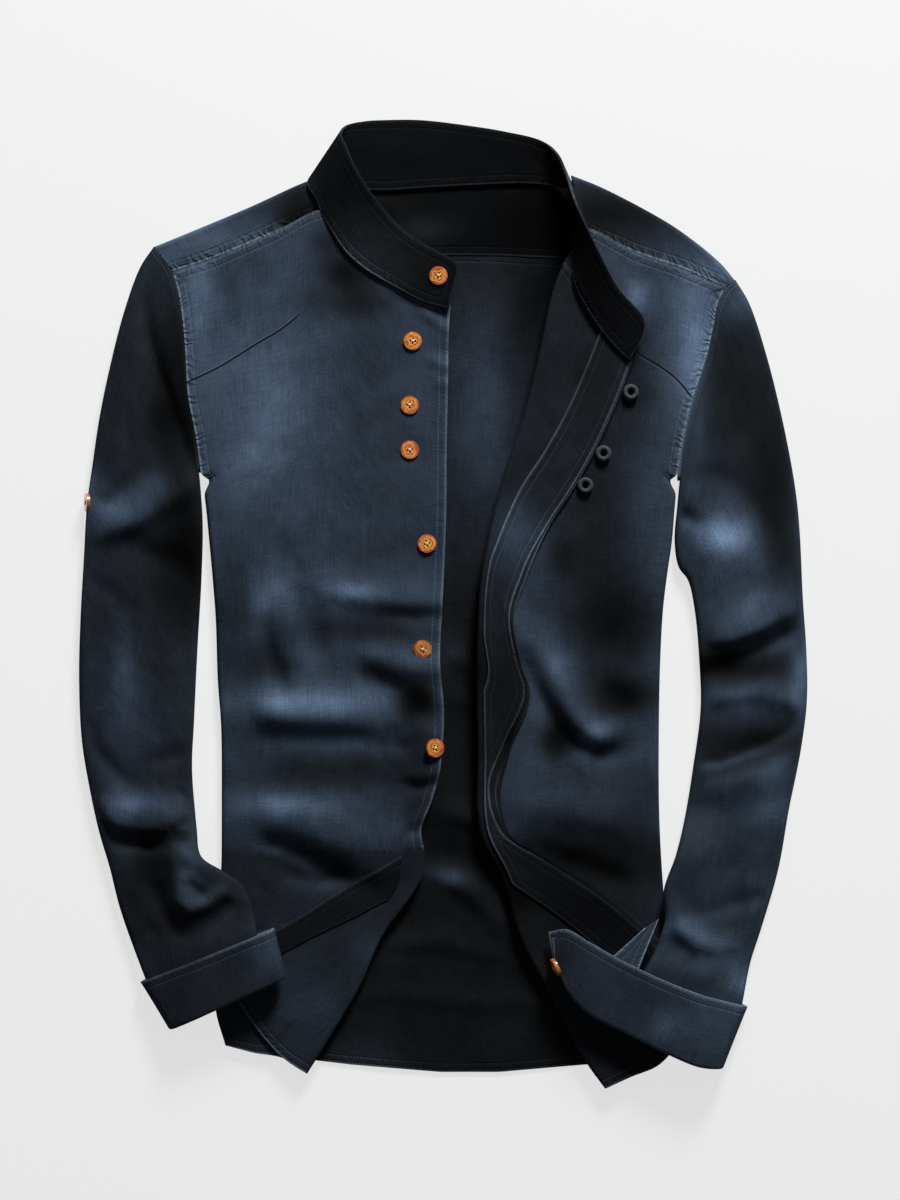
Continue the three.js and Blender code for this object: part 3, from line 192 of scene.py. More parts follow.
def smooth_line(points, even=True):
    """A smooth line through the points. It gives places by shares of its length, or of its points."""
    inner = np.array(points, float)
    ends = [2 * inner[0] - inner[1], inner, 2 * inner[-1] - inner[-2]]
    knots = np.vstack(ends)
    share = np.linspace(0, 1, LINE_SAMPLES, endpoint=False)[:, None]
    pieces = []
    for before, start, end, after in zip(knots, knots[1:], knots[2:], knots[3:]):
        gaps = [np.linalg.norm(b - a) ** 0.5 for a, b in ((before, start), (start, end), (end, after))]
        first, span, last = gaps
        leave = (start - before) / first - (end - before) / (first + span) + (end - start) / span
        arrive = (end - start) / span - (after - start) / (span + last) + (after - end) / last
        leave, arrive = leave * span, arrive * span
        bend = 3 * (end - start) - 2 * leave - arrive
        turn = 2 * (start - end) + leave + arrive
        pieces.append(start + leave * share + bend * share**2 + turn * share**3)
    dense = np.vstack(pieces + [inner[-1:]])
    run = np.concatenate([[0], np.cumsum(np.linalg.norm(np.diff(dense, axis=0), axis=1))])
    steps = run if even else np.linspace(0, 1, len(dense))

    def at(share):
        place = np.clip(np.asarray(share, float), 0, 1) * steps[-1]
        return np.stack([np.interp(place, steps, dense[:, k]) for k in range(dense.shape[1])], axis=-1)

    return at


def patch(outline, across, down):
    """Places on a panel between its top, bottom, left and right outlines."""
    top, bottom, left, right = outline
    a = np.asarray(across, float)[..., None]
    d = np.asarray(down, float)[..., None]
    sides = left(down) * (1 - a) + right(down) * a
    ends = top(across) * (1 - d) + bottom(across) * d
    corners = (top(0) * (1 - a) + top(1) * a) * (1 - d) + (bottom(0) * (1 - a) + bottom(1) * a) * d
    return sides + ends - corners


def beside(x, y, start, end):
    """For points beside a straight run: its nearest share, how far that is, and if they are right of it."""
    (ax, ay), (bx, by) = start, end
    share = np.clip(((x - ax) * (bx - ax) + (y - ay) * (by - ay)) / ((bx - ax) ** 2 + (by - ay) ** 2), 0, 1)
    off_x = x - ax - share * (bx - ax)
    off_y = y - ay - share * (by - ay)
    return share, np.hypot(off_x, off_y), off_x * (by - ay) - off_y * (bx - ax) > 0


def fold_height(x, y, folds):
    """The height that creases add: each falls away from its crest as a bell does."""
    total = np.zeros(np.shape(x))
    for crest, left_spread, right_spread in folds:
        nearest = np.full(np.shape(x), FAR)
        height = np.zeros(np.shape(x))
        for (*a, start), (*b, end) in zip(crest, crest[1:]):
            share, far, on_right = beside(x, y, a, b)
            far = far / np.where(on_right, right_spread, left_spread)
            nearer = far < nearest
            nearest = np.where(nearer, far, nearest)
            height = np.where(nearer, mix(start, end, share), height)
        total += height * np.exp(-nearest**2)
    return total


def soft_waves(x, y, size, seed):
    """Gentle unevenness between -1 and 1, with waves about as long as size."""
    lattice = np.random.default_rng(seed).uniform(-1, 1, (96, 96))
    column, row = np.asarray(x) / size + 40, np.asarray(y) / size + 40
    i, j = np.floor(column).astype(int), np.floor(row).astype(int)
    s, t = ease(column - i, 0, 1), ease(row - j, 0, 1)
    low = mix(lattice[j % 96, i % 96], lattice[j % 96, (i + 1) % 96], s)
    high = mix(lattice[(j + 1) % 96, i % 96], lattice[(j + 1) % 96, (i + 1) % 96], s)
    return mix(low, high, t)


def wrinkles(x, y, seed):
    turned_x, turned_y = 0.8 * x + 0.6 * y, 0.8 * y - 0.6 * x
    large = soft_waves(x, 1.6 * y, 46, seed)
    middle = soft_waves(turned_x, 2.2 * turned_y, 27, seed + 1)
    small = soft_waves(0.9 * turned_y, 1.9 * turned_x, 13, seed + 2)
    return 0.55 * large + 0.32 * middle + 0.13 * small


def blurred(values, rounds):
    """Each point's height averaged with its neighbours', again and again."""
    smooth = values.copy()
    for _ in range(rounds):
        for axis in (0, 1):
            rolled = np.moveaxis(smooth, axis, 0)
            padded = np.concatenate([rolled[:1], rolled, rolled[-1:]])
            smooth = np.moveaxis((padded[:-2] + 2 * padded[1:-1] + padded[2:]) / 4, 0, axis)
    return smooth


def fading_and_painted_shade(grid, places, base=0.42, crest=0.022):
    """How pale the cloth is, partly washed-out dye and partly painted light and shade: 0.5 is plain, and 0.14
    less halves its lightness. Crests are paler, partly fading and partly painted shade in the troughs. Crease
    flanks that face the first row, the neck on most pieces, are painted lighter, and those facing away
    darker.
    """
    x, y, z = np.moveaxis(grid, -1, 0)
    fold = z - blurred(z, BLUR_ROUNDS)
    fall = np.gradient(fold, axis=0) / np.maximum(length_of(np.gradient(grid, axis=0))[..., 0], 0.2)
    amount = base + crest * fold + FLANK_PAINTED_LIGHT * np.clip(blurred(fall, 2), -0.5, 0.5)
    for middle_x, middle_y, spread_x, spread_y, change in places:
        away = ((x - middle_x) / spread_x) ** 2 + ((y - middle_y) / spread_y) ** 2
        amount = amount + change * np.exp(-away)
    return np.clip(amount, *FADE_AND_SHADE_LIMITS)


def side_roll(y):
    return mix(HEM_ROLL, SIDE_ROLL, ease(y, *HEM_ROLL_ZONE))


def body_height(x, y, side_distance):
    low = MIDDLE + 2 * side_roll(y)
    loft = mix(HEM_LOFT, BODY_LOFT, ease(y, *HEM_LOFT_ZONE)) * ease(side_distance, *SIDE_LOFT_ZONE)
    free = ease(y, *HEM_FOLD_ZONE)
    folds = FOLD_DEPTH * fold_height(x, y, BODY_FOLDS) * ease(side_distance, *SIDE_FOLD_ZONE) * free
    waves = wrinkles(x, y, 5) * ease(side_distance, *SIDE_WAVE_ZONE) * mix(HEM_WAVES, 1, free)
    return low + loft + folds + waves


def front_height(x, y, side_distance, edge_distance):
    dip = (1 - ease(edge_distance, *EDGE_DIP_ZONE)) * (MIDDLE + 2 * side_roll(y) - FRONT_EDGE_HEIGHT)
    return body_height(x, y, side_distance) - np.maximum(dip, 0)


def length_of(vector):
    return np.linalg.norm(vector, axis=-1, keepdims=True)


def with_height(plan, height):
    return np.concatenate([plan, np.broadcast_to(height, plan.shape[:-1])[..., None]], axis=-1)


def side_columns(edge, inner):
    """The cloth at a side: under the body, round the roll and onto the top, but flat at an armhole."""
    roll = side_roll(edge[:, 1])[:, None]
    rolled = 1 - ease(edge[:, 1], *UNDERARM_ZONE)[:, None]
    turns = np.linspace(0, math.pi, ROLL_STEPS + 1)
    under = np.linspace(TURN_UNDER, 0, UNDER_STEPS)[:-1]
    along = np.concatenate([roll + under, roll * (1 - np.sin(turns))], axis=1)
    height = np.concatenate([0 * (roll + under), roll * (1 - np.cos(turns))], axis=1)
    count = along.shape[1]
    direction = inner - edge
    reach = length_of(direction)
    flat = reach * np.arange(count) / count
    plan = edge[:, None] + (direction / reach)[:, None] * mix(flat, along, rolled)[..., None]
    return with_height(plan, MIDDLE + mix(2 * roll, height, rolled))


def front_rows(outline, downs, columns):
    edge, end = outline[2](downs), outline[3](downs)
    width = length_of(end - edge)
    start = SIDE_REACH / width
    across = mix(start, 1, np.linspace(0, 1, columns + 1)[None])
    plan = patch(outline, across, np.repeat(downs[:, None], columns + 1, axis=1))
    inner = plan[:, 0]
    side_distance = length_of(plan - inner[:, None])[..., 0]
    edge_distance = (1 - across) * width
    height = front_height(plan[..., 0], plan[..., 1], side_distance, edge_distance)
    return np.concatenate([side_columns(edge, inner), with_height(plan, height)], axis=1)


def fold_columns(fold, target, low):
    """Half a roll of cloth at a fold, from the lower layer's height to the upper one's."""
    direction = fold - target
    direction = direction / length_of(direction)
    turns = np.linspace(0, math.pi, ROLL_STEPS)[1:]
    plan = fold[:, None] + direction[:, None] * (FOLD_ROLL * (np.sin(turns) - 1))[None, :, None]
    return with_height(plan, low[:, None] + FOLD_ROLL * (1 - np.cos(turns))[None])


def run_lengths(grid):
    """How far each point of a grid is along its row and along its column, in the cloth itself."""
    across = np.cumsum(np.linalg.norm(np.diff(grid, axis=1, prepend=grid[:, :1]), axis=-1), axis=1)
    down = np.cumsum(np.linalg.norm(np.diff(grid, axis=0, prepend=grid[:1]), axis=-1), axis=0)
    return across, down


def sewn_borders(grid, borders):
    """For each point, how far the nearest sewn border is, and how far along it the point lies."""
    across, down = run_lengths(grid)
    # Each border's run starts at a number of its own, so that puckers differ from border to border
    choices = {
        "left": (across, down), "right": (across[:, -1:] - across, down + RUN_START),
        "top": (down, across + 2 * RUN_START), "bottom": (down[-1:] - down, across + 3 * RUN_START),
    }
    reach = np.full(across.shape, FAR)
    run = np.zeros(across.shape)
    pull = np.zeros(across.shape)
    for border, strength in borders.items():
        far, along = choices[border]
        run = np.where(far < reach, along, run)
        pull = np.where(far < reach, strength, pull)
        reach = np.minimum(far, reach)
    return reach, run, pull


def line_side(grid, points, mask=True):
    """How far each point lies from a seam across a panel, seen from above, above it or below it."""
    x, y = grid[..., 0], grid[..., 1]
    path = smooth_line(points)(np.linspace(0, 1, 24))
    nearest = np.full(x.shape, FAR)
    for start, end in zip(path, path[1:]):
        far, below = beside(x, y, start, end)[1:]
        nearest = np.where((far < np.abs(nearest)) & mask, np.where(below, -far, far), nearest)
    return nearest


def fill(tree, sockets, values):
    """Gives sockets their values, or links them to the sockets that the values come from."""
    for name, value in values.items():
        if isinstance(value, bpy.types.NodeSocket):
            tree.links.new(value, sockets[name])
        else:
            sockets[name].default_value = value


def add_node(tree, kind, inputs=None, **settings):
    """One shader node, with its settings and with a value or another node's socket for each input."""
    made = tree.nodes.new(kind)
    for name, value in settings.items():
        setattr(made, name, value)
    fill(tree, made.inputs, inputs or {})
    return made


def add_sum(tree, operation, *values):
    """One Math node, with its values or the sockets that they come from in order."""
    return add_node(tree, "ShaderNodeMath", dict(enumerate(values)), operation=operation).outputs[0]


def ramp(tree, value, low, high, start=0.0, end=1.0):
    inputs = {"Value": value, "From Min": low, "From Max": high, "To Min": start, "To Max": end}
    made = add_node(tree, "ShaderNodeMapRange", inputs, interpolation_type="SMOOTHSTEP")
    return made.outputs["Result"]


def noise(tree, place, stretch_x, stretch_y, detail=2.0, rough=0.5):
    stretch = {0: place, 1: (stretch_x, stretch_y, 1)}
    scaled = add_node(tree, "ShaderNodeVectorMath", stretch, operation="MULTIPLY")
    inputs = {"Vector": scaled.outputs[0], "Scale": 1.0, "Detail": detail, "Roughness": rough}
    return add_node(tree, "ShaderNodeTexNoise", inputs).outputs["Fac"]


def colour_mix(tree, share, low, high):
    return add_node(tree, "ShaderNodeMix", {0: share, 6: low, 7: high}, data_type="RGBA").outputs[2]


def new_group(name, inputs, outputs):
    """A shader group with its sockets. Those of numbers are named alone, the others with their kind."""
    tree = bpy.data.node_groups.new(name, "ShaderNodeTree")
    for labels, side in ((inputs, "INPUT"), (outputs, "OUTPUT")):
        for label in labels:
            label, kind = label if isinstance(label, tuple) else (label, "Float")
            tree.interface.new_socket(label, in_out=side, socket_type="NodeSocket" + kind)
    start = tree.nodes.new("NodeGroupInput").outputs
    end = tree.nodes.new("NodeGroupOutput").inputs
    return tree, start, end


# The colour of the painted shadow along a seam line across a panel
SEAM_SHADOW_TONE = (0.0026, 0.0031, 0.0037, 1)
DYE = (0.0155, 0.0222, 0.0325, 1)
FADED_DYE = (0.054, 0.072, 0.100, 1)
# Tints and gain that turn the stored value of fading and painted light and shade into colour: darker is less
# blue, paler is bluer
DEEP_AND_SHADED_TINT = (1.22, 1.0, 0.80, 1)
FADED_AND_LIT_TINT = (0.94, 1.0, 1.07, 1)
FADE_AND_SHADE_GAIN = 150.0
# The paler tone of rubbed edges and puckers: partly wear and partly a painted highlight
WEAR_AND_HIGHLIGHT_TONE = (0.17, 0.215, 0.265, 1)
THREAD_DYE = (0.07, 0.092, 0.12, 1)

# Twill weave: slanting ridges of fine threads, slubs along the warp and a mottled washed-out dye. Its colour
# is scaled by the stored value, which is partly fading and partly painted light and shade.
twill, given, out = new_group(
    "Washed twill",
    [("Place", "Vector"), ("Dye", "Color"), ("Faded dye", "Color"), "Fade and painted shade"],
    [("Color", "Color"), "Height", "Roughness"],
)
TWILL_PITCH = 1.1 * MM
THREAD_PITCH = 0.55 * MM
split = add_node(twill, "ShaderNodeSeparateXYZ", {0: given["Place"]}).outputs
slant = add_sum(twill, "ADD", split[0], add_sum(twill, "MULTIPLY", split[1], 0.8))
ridges = add_sum(twill, "SINE", add_sum(twill, "MULTIPLY", slant, 2 * math.pi / TWILL_PITCH))
threads = add_sum(twill, "SINE", add_sum(twill, "MULTIPLY", split[1], 2 * math.pi / THREAD_PITCH))
slubs = noise(twill, given["Place"], 1100, 55)
weft_slubs = noise(twill, given["Place"], 70, 900)
grain = noise(twill, given["Place"], 900, 900, 3, 0.7)
mottle = noise(twill, given["Place"], 26, 20, 4, 0.6)
streaks = noise(twill, given["Place"], 210, 14, 3, 0.6)
crumple = noise(twill, given["Place"], 62, 84, 3, 0.5)
weave = add_sum(twill, "MULTIPLY_ADD", threads, 0.35, ridges)
faded = add_sum(twill, "MULTIPLY_ADD", slubs, 0.38, add_sum(twill, "MULTIPLY", weft_slubs, 0.3))
for pattern, strength in ((grain, 0.5), (mottle, 0.5), (streaks, 0.14), (weave, 0.06)):
    faded = add_sum(twill, "MULTIPLY_ADD", pattern, strength, faded)
share = ramp(twill, faded, 0.56, 1.3)
blend = colour_mix(twill, share, given["Dye"], given["Faded dye"])
# Darker and less blue where the stored value is low, paler and bluer where it is high: fading and painted
# light and shade
tint = colour_mix(twill, ramp(twill, given["Fade and painted shade"], 0.0, 0.5), DEEP_AND_SHADED_TINT, FADED_AND_LIT_TINT)
tinted = add_node(twill, "ShaderNodeVectorMath", {0: blend, 1: tint}, operation="MULTIPLY")
gain = add_sum(twill, "POWER", FADE_AND_SHADE_GAIN, add_sum(twill, "SUBTRACT", given["Fade and painted shade"], 0.5))
faded_and_shaded_colour = add_node(twill, "ShaderNodeVectorMath", {0: tinted.outputs[0], "Scale": gain}, operation="SCALE")
height = add_sum(twill, "MULTIPLY_ADD", weave, 0.035, add_sum(twill, "MULTIPLY", slubs, 0.10))
for pattern, strength in ((grain, 0.16), (crumple, 0.55)):
    height = add_sum(twill, "MULTIPLY_ADD", pattern, strength, height)
roughness = ramp(twill, grain, 0.3, 0.7, 0.82, 0.95)
fill(twill, out, {"Color": faded_and_shaded_colour.outputs[0], "Height": height, "Roughness": roughness})

# Washed seam: the edge is paler, partly rubbed wear and partly a painted highlight, puckers run square to it
# with their raised halves paler, and two rows of stitches follow it. A seam line across a panel gets a
# painted shadow on it and a painted highlight beside it.
seam, given, out = new_group(
    "Washed seam",
    [("Place", "Vector"), "Reach", "Run", "Puckers", "Line"],
    ["Wear and highlight", "Stitches", "Height", "Shadow"],
)
PUCKER_PITCH = 6.5 * MM
STITCH_PITCH = 2.6 * MM
STITCH_ROWS = (1.4 * MM, 6.4 * MM)
wobble = add_sum(seam, "MULTIPLY", noise(seam, given["Place"], 75, 75), 26.0)
turns = add_sum(seam, "MULTIPLY_ADD", given["Run"], 2 * math.pi / PUCKER_PITCH, wobble)
fading_in = ramp(seam, given["Reach"], 0.5 * MM, 10 * MM, 1, 0)
pucker = add_sum(seam, "MULTIPLY", add_sum(seam, "SINE", turns), fading_in)
pucker = add_sum(seam, "MULTIPLY", pucker, given["Puckers"])
stitch_turn = add_sum(seam, "FRACT", add_sum(seam, "DIVIDE", given["Run"], STITCH_PITCH))
dash = add_sum(seam, "LESS_THAN", stitch_turn, 0.68)
offs = [add_sum(seam, "ABSOLUTE", add_sum(seam, "SUBTRACT", given["Reach"], row)) for row in STITCH_ROWS]
stitch = add_sum(seam, "MAXIMUM", *(ramp(seam, off, 0.22 * MM, 0.5 * MM, 1, 0) for off in offs))
groove = add_sum(seam, "MAXIMUM", *(ramp(seam, off, 0.1 * MM, 1.3 * MM, 1, 0) for off in offs))
near_edge = ramp(seam, given["Reach"], 0, 2.2 * MM, 1.5, 0)
rubbed_and_lit_edge = add_sum(seam, "MULTIPLY", noise(seam, given["Place"], 420, 420, 3, 0.7), near_edge)
near_seam = ramp(seam, given["Reach"], 2 * MM, 9 * MM, 0.34, 0)
pucker_wear_and_highlight = add_sum(seam, "MULTIPLY", near_seam, ramp(seam, pucker, 0, 0.9))
line_far = add_sum(seam, "ABSOLUTE", given["Line"])
line_rim = add_sum(seam, "ABSOLUTE", add_sum(seam, "SUBTRACT", given["Line"], 1.3 * MM))
rim_wear_and_highlight = add_sum(seam, "ADD", rubbed_and_lit_edge, pucker_wear_and_highlight)
all_wear_and_highlight = add_sum(seam, "MULTIPLY_ADD", ramp(seam, line_rim, 0.2 * MM, 0.8 * MM, 1, 0), 0.22, rim_wear_and_highlight)
relief = add_sum(seam, "MULTIPLY_ADD", pucker, 0.42, add_sum(seam, "MULTIPLY", groove, -0.22))
fill(seam, out, {
    "Wear and highlight": all_wear_and_highlight, "Stitches": add_sum(seam, "MULTIPLY", stitch, dash), "Height": relief,
    "Shadow": ramp(seam, line_far, 0.3 * MM, 0.95 * MM, 1, 0),
})

# What each piece of cloth stores at its points, with its unit in metres, or 1 for a share
STORED = {"seam_reach": MM, "seam_run": MM, "seam_pull": 1, "line_side": MM, "fade_and_painted_shade": 1}


def new_material(name):
    made = bpy.data.materials.new(name)
    made.use_nodes = True
    return made, made.node_tree, made.node_tree.nodes["Principled BSDF"]


def cloth_material(name, shade=1.0, wear_and_highlight=1.0):
    """Washed twill with its seams and its painted light and shade, read from what each piece of cloth stores
    at its points.
    """
    made, tree, shader = new_material(name)
    place = add_node(tree, "ShaderNodeUVMap", uv_map="cloth").outputs[0]
    stored = {
        label: add_node(tree, "ShaderNodeAttribute", attribute_name=label).outputs["Fac"]
        for label in STORED
    }
    shaded = [tuple(c * shade for c in dye[:3]) + (1,) for dye in (DYE, FADED_DYE)]
    inputs = {"Place": place, "Dye": shaded[0], "Faded dye": shaded[1], "Fade and painted shade": stored["fade_and_painted_shade"]}
    weave = add_node(tree, "ShaderNodeGroup", inputs, node_tree=twill)
    inputs = {
        "Place": place, "Reach": stored["seam_reach"], "Run": stored["seam_run"],
        "Puckers": stored["seam_pull"], "Line": stored["line_side"],
    }
    sewn = add_node(tree, "ShaderNodeGroup", inputs, node_tree=seam)
    colour = weave.outputs["Color"]
    # Where the tone is dark, from deep dye and from painted shade, wear, highlights and stitches are dimmed,
    # so that seams stay dark there too
    fade_and_light_share = ramp(tree, stored["fade_and_painted_shade"], 0.0, 0.5, 0.06, 0.9)
    for label, strength, tint in (("Wear and highlight", 0.5 * wear_and_highlight, WEAR_AND_HIGHLIGHT_TONE), ("Stitches", 0.6, THREAD_DYE)):
        share = add_sum(tree, "MULTIPLY", add_sum(tree, "MULTIPLY", sewn.outputs[label], strength), fade_and_light_share)
        colour = colour_mix(tree, share, colour, tint)
    colour = colour_mix(tree, sewn.outputs["Shadow"], colour, SEAM_SHADOW_TONE)
    relief = add_sum(tree, "ADD", weave.outputs["Height"], sewn.outputs["Height"])
    bump = add_node(tree, "ShaderNodeBump", {"Strength": 1.0, "Distance": MM, "Height": relief})
    fill(tree, shader.inputs, {
        "Base Color": colour, "Roughness": weave.outputs["Roughness"], "Normal": bump.outputs[0],
        "Specular IOR Level": 0.025, "Sheen Weight": 0.008, "Sheen Roughness": 0.45,
        "Sheen Tint": (0.62, 0.76, 1.0, 1),
    })
    return made


slate_twill = cloth_material("Slate twill")
surfaces = {}


def linked_object(name, data):
    made = bpy.data.objects.new(name, data)
    bpy.context.scene.collection.objects.link(made)
    return made


def select_only(*pieces):
    bpy.ops.object.select_all(action="DESELECT")
    for piece in pieces:
        piece.select_set(True)
    bpy.context.view_layer.objects.active = pieces[0]


def merge_close(piece, distance):
    select_only(piece)
    bpy.ops.object.mode_set(mode="EDIT")
    bpy.ops.mesh.select_all(action="SELECT")
    bpy.ops.mesh.remove_doubles(threshold=distance)
    bpy.ops.object.mode_set(mode="OBJECT")


def bevel_edges(piece, name, width, segments, angle):
    """Rounds the sharp edges of the piece that is selected."""
    rim = piece.modifiers.new(name, "BEVEL")
    rim.width = width * MM
    rim.segments = segments
    rim.limit_method = "ANGLE"
    rim.angle_limit = math.radians(angle)
    bpy.ops.object.modifier_apply(modifier=rim.name)


MERGE_DISTANCE = 0.02
RIM_SHARE = 0.32


def cloth_piece(name, panels, thickness=CLOTH, material=None, nodes=None, round_edges=False):
    """A shell of cloth on its middle surface. Each panel is a grid with its seams, line, and values of fading
    and painted light and shade.
    """
    points, faces, places = [], [], []
    stored = {label: [] for label in STORED}
    for grid, borders, line, fade_and_painted_shade in panels:
        numbers = len(points) + np.arange(grid.shape[0] * grid.shape[1]).reshape(grid.shape[:2])
        cells = [numbers[:-1, :-1], numbers[:-1, 1:], numbers[1:, 1:], numbers[1:, :-1]]
        faces.extend(np.stack(cells, axis=-1).reshape(-1, 4).tolist())
        across, down = run_lengths(grid)
        down = np.broadcast_to(down.mean(1)[:, None], across.shape)
        places.extend(np.stack([across - across[:, -1:] / 2, down], -1).reshape(-1, 2))
        points.extend(grid.reshape(-1, 3).tolist())
        reach, run, pull = sewn_borders(grid, borders)
        line = np.full(across.shape, FAR) if line is None else line
        for (label, unit), values in zip(STORED.items(), (reach, run, pull, line, fade_and_painted_shade)):
            stored[label].extend((values * unit).ravel())
    mesh = bpy.data.meshes.new(name)
    mesh.from_pydata((np.array(points) * MM).tolist(), [], faces)
    uv = mesh.uv_layers.new(name="cloth")
    corner = np.array([v for face in faces for v in face])
    uv.data.foreach_set("uv", (np.array(places)[corner] * MM).ravel())
    for label, values in stored.items():
        kept = mesh.attributes.new(label, "FLOAT", "POINT")
        kept.data.foreach_set("value", np.array(values, np.float32))
    piece = linked_object(name, mesh)
    merge_close(piece, MERGE_DISTANCE * MM)
    area = sum(face.area for face in piece.data.polygons)
    corners = [vertex.co for vertex in piece.data.vertices]
    surfaces[name] = BVHTree.FromPolygons(corners, [face.vertices for face in piece.data.polygons])
    shell = piece.modifiers.new("Thickness", "SOLIDIFY")
    shell.thickness = thickness * MM
    shell.offset = 0
    bpy.ops.object.modifier_apply(modifier=shell.name)
    if round_edges:
        bevel_edges(piece, "Soft rim", RIM_SHARE * thickness, 2, 55)
    bpy.ops.object.shade_smooth_by_angle(angle=math.radians(50))
    piece.data.materials.append(material or slate_twill)
    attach(piece, "root")
    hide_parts(*nodes)
    return piece, area


right_upper = (
    smooth_line(RIGHT_YOKE_SEAM + RIGHT_NECK[1:]), smooth_line(RIGHT_FOLD_ROW),
    smooth_line(RIGHT_SIDE[2:16] + RIGHT_FOLD_ROW[:1]), smooth_line(RIGHT_FRONT_EDGE),
)
right_lower = (
    smooth_line(RIGHT_FOLD_ROW), smooth_line(RIGHT_HEM),
    smooth_line(RIGHT_FOLD_ROW[:1] + RIGHT_SIDE[16:]), smooth_line(RIGHT_FOLD),
)
right_corner = (
    smooth_line(RIGHT_TURNED_EDGE), smooth_line(RIGHT_TURNED_HEM), smooth_line(RIGHT_FOLD),
    smooth_line([RIGHT_TURNED_EDGE[-1], [-170, -272], RIGHT_TURNED_HEM[-1]]),
)
FRONT_COLUMNS = 58
TURNED_COLUMNS = 40
# Where the turned corner starts across, the column that its fold faces, and the body's side beneath it
CORNER_START = 0.07
CORNER_AIM = 12
CORNER_SIDE_X = -163
right_upper_rows = front_rows(right_upper, np.linspace(0, 1, UPPER_ROWS + 1), FRONT_COLUMNS)
corner_downs = np.linspace(0, 1, CORNER_ROWS + 1)
right_lower_rows = front_rows(right_lower, corner_downs, FRONT_COLUMNS)
across, down = np.meshgrid(np.linspace(CORNER_START, 1, TURNED_COLUMNS + 1), corner_downs)
turned_plan = patch(right_corner, across, down)
fold = right_lower[3](corner_downs)
fold_distance = length_of(turned_plan - fold[:, None])[..., 0]
over = mix(2 * FOLD_ROLL, TURNED_GAP, ease(fold_distance, *FOLD_SETTLE_ZONE))
turned_x, turned_y = turned_plan[..., 0], turned_plan[..., 1]
turned_height = body_height(turned_x, turned_y, turned_x - CORNER_SIDE_X - SIDE_REACH)
turned = with_height(turned_plan, turned_height + over)
half_roll = fold_columns(fold, turned_plan[:, CORNER_AIM], right_lower_rows[:, -1, 2])
right_lower_rows[:, -1, :2] = half_roll[:, -1, :2]
right_corner_rows = np.concatenate([right_lower_rows, half_roll, turned], axis=1)
chest_seam = [[-190, 163], [-165, 175], [-139, 191], [-120, 202], [-107, 212]]
right_line = line_side(right_upper_rows, chest_seam)
FRONT_SEAMS = {"top": 0.5, "left": 0.7, "right": 0.12}
# Paler and darker places of the turned corner, partly fading and partly painted light and shade
CORNER_FADE_AND_SHADE = [
    [-40, -215, 20, 30, -0.04], [-110, -280, 30, 60, 0.05], [-90, -305, 26, 22, 0.08],
    [-48, -264, 14, 14, 0.12],
]
right_panels = [
    (right_upper_rows, FRONT_SEAMS, right_line, fading_and_painted_shade(right_upper_rows, FRONT_FADE_AND_SHADE)),
    (right_corner_rows, {"bottom": 0.3}, None, fading_and_painted_shade(right_corner_rows, CORNER_FADE_AND_SHADE, 0.25)),
]
front_right, area = cloth_piece("front_right_twill", right_panels, nodes=["front_right"])

# The left front, a panel of twill cut and made as the right one. It is turned outwards from the collar
# to the hem, so that its inside shows between the fold and the free edge with its button loops.
LEFT_SIDE = [
    [221, 240], [214, 234.5], [208, 222], [205, 206], [201, 187], [195, 168], [189, 150],
    [181, 115], [178, 92], [176, 71], [173.5, 42], [170, 18], [167, -8], [165, -45], [164, -90],
    [164, -150], [165, -180], [168, -225], [173, -280], [187, -334],
]
LEFT_YOKE_SEAM = [[214, 234.5], [180, 249], [150, 259], [108, 278]]
LEFT_NECK = [[108, 278], [101, 265], [93, 253]]
LEFT_TURNED_NECK = [[93, 253], [104, 238], [119, 215], [145, 182]]
LEFT_FOLD = [
    [93, 253], [85, 232], [75, 187], [64, 142], [45, 82], [31, 15], [28, -37], [28.5, -112],
    [30, -172], [47, -210], [61, -255], [81, -292], [109, -345], [124, -366],
]
LEFT_FREE_EDGE = [
    [145, 182], [133, 150], [116, 112], [99, 82], [81, 54], [64, 15], [55, -15], [61, -49],
    [67.5, -72], [52, -110], [41, -142], [51, -174], [82, -193], [120, -217], [156, -247],
    [180, -275], [184, -300],
]
LEFT_HEM = [[187, -334], [165, -345], [144, -352], [124, -366]]
LEFT_TURNED_HEM = [[124, -366], [142, -358], [165, -348], [180, -328], [184, -300]]
left_main = (
    smooth_line(LEFT_YOKE_SEAM + LEFT_NECK[1:]), smooth_line(LEFT_HEM),
    smooth_line(LEFT_SIDE[1:]), smooth_line(LEFT_FOLD),
)
left_turned = (
    smooth_line(LEFT_TURNED_NECK), smooth_line(LEFT_TURNED_HEM),
    smooth_line(LEFT_FOLD), smooth_line(LEFT_FREE_EDGE),
)
LEFT_TURNED_GAP = 3.2
LEFT_TURNED_START = FOLD_ROLL + 2.5
LEFT_AIM = 14
downs = np.linspace(0, 1, UPPER_ROWS + CORNER_ROWS + 1)
left_main_rows = front_rows(left_main, downs, FRONT_COLUMNS)
fold = left_main[3](downs)
width = length_of(fold - left_turned[3](downs))
across = mix(LEFT_TURNED_START / width, 1, np.linspace(0, 1, TURNED_COLUMNS + 1)[None])
turned_plan = patch(left_turned, across, np.broadcast_to(downs[:, None], across.shape))
fold_distance = length_of(turned_plan - fold[:, None])[..., 0]
turned_x, turned_y = turned_plan[..., 0], turned_plan[..., 1]
side_distance = left_main[2](downs)[:, :1] - turned_x - SIDE_REACH
over = mix(2 * FOLD_ROLL, LEFT_TURNED_GAP, ease(fold_distance, *FOLD_SETTLE_ZONE))
turned_height = front_height(turned_x, turned_y, side_distance, fold_distance)
turned = with_height(turned_plan, turned_height + over)
half_roll = fold_columns(fold, turned_plan[:, LEFT_AIM], left_main_rows[:, -1, 2])
left_main_rows[:, -1, :2] = half_roll[:, -1, :2]
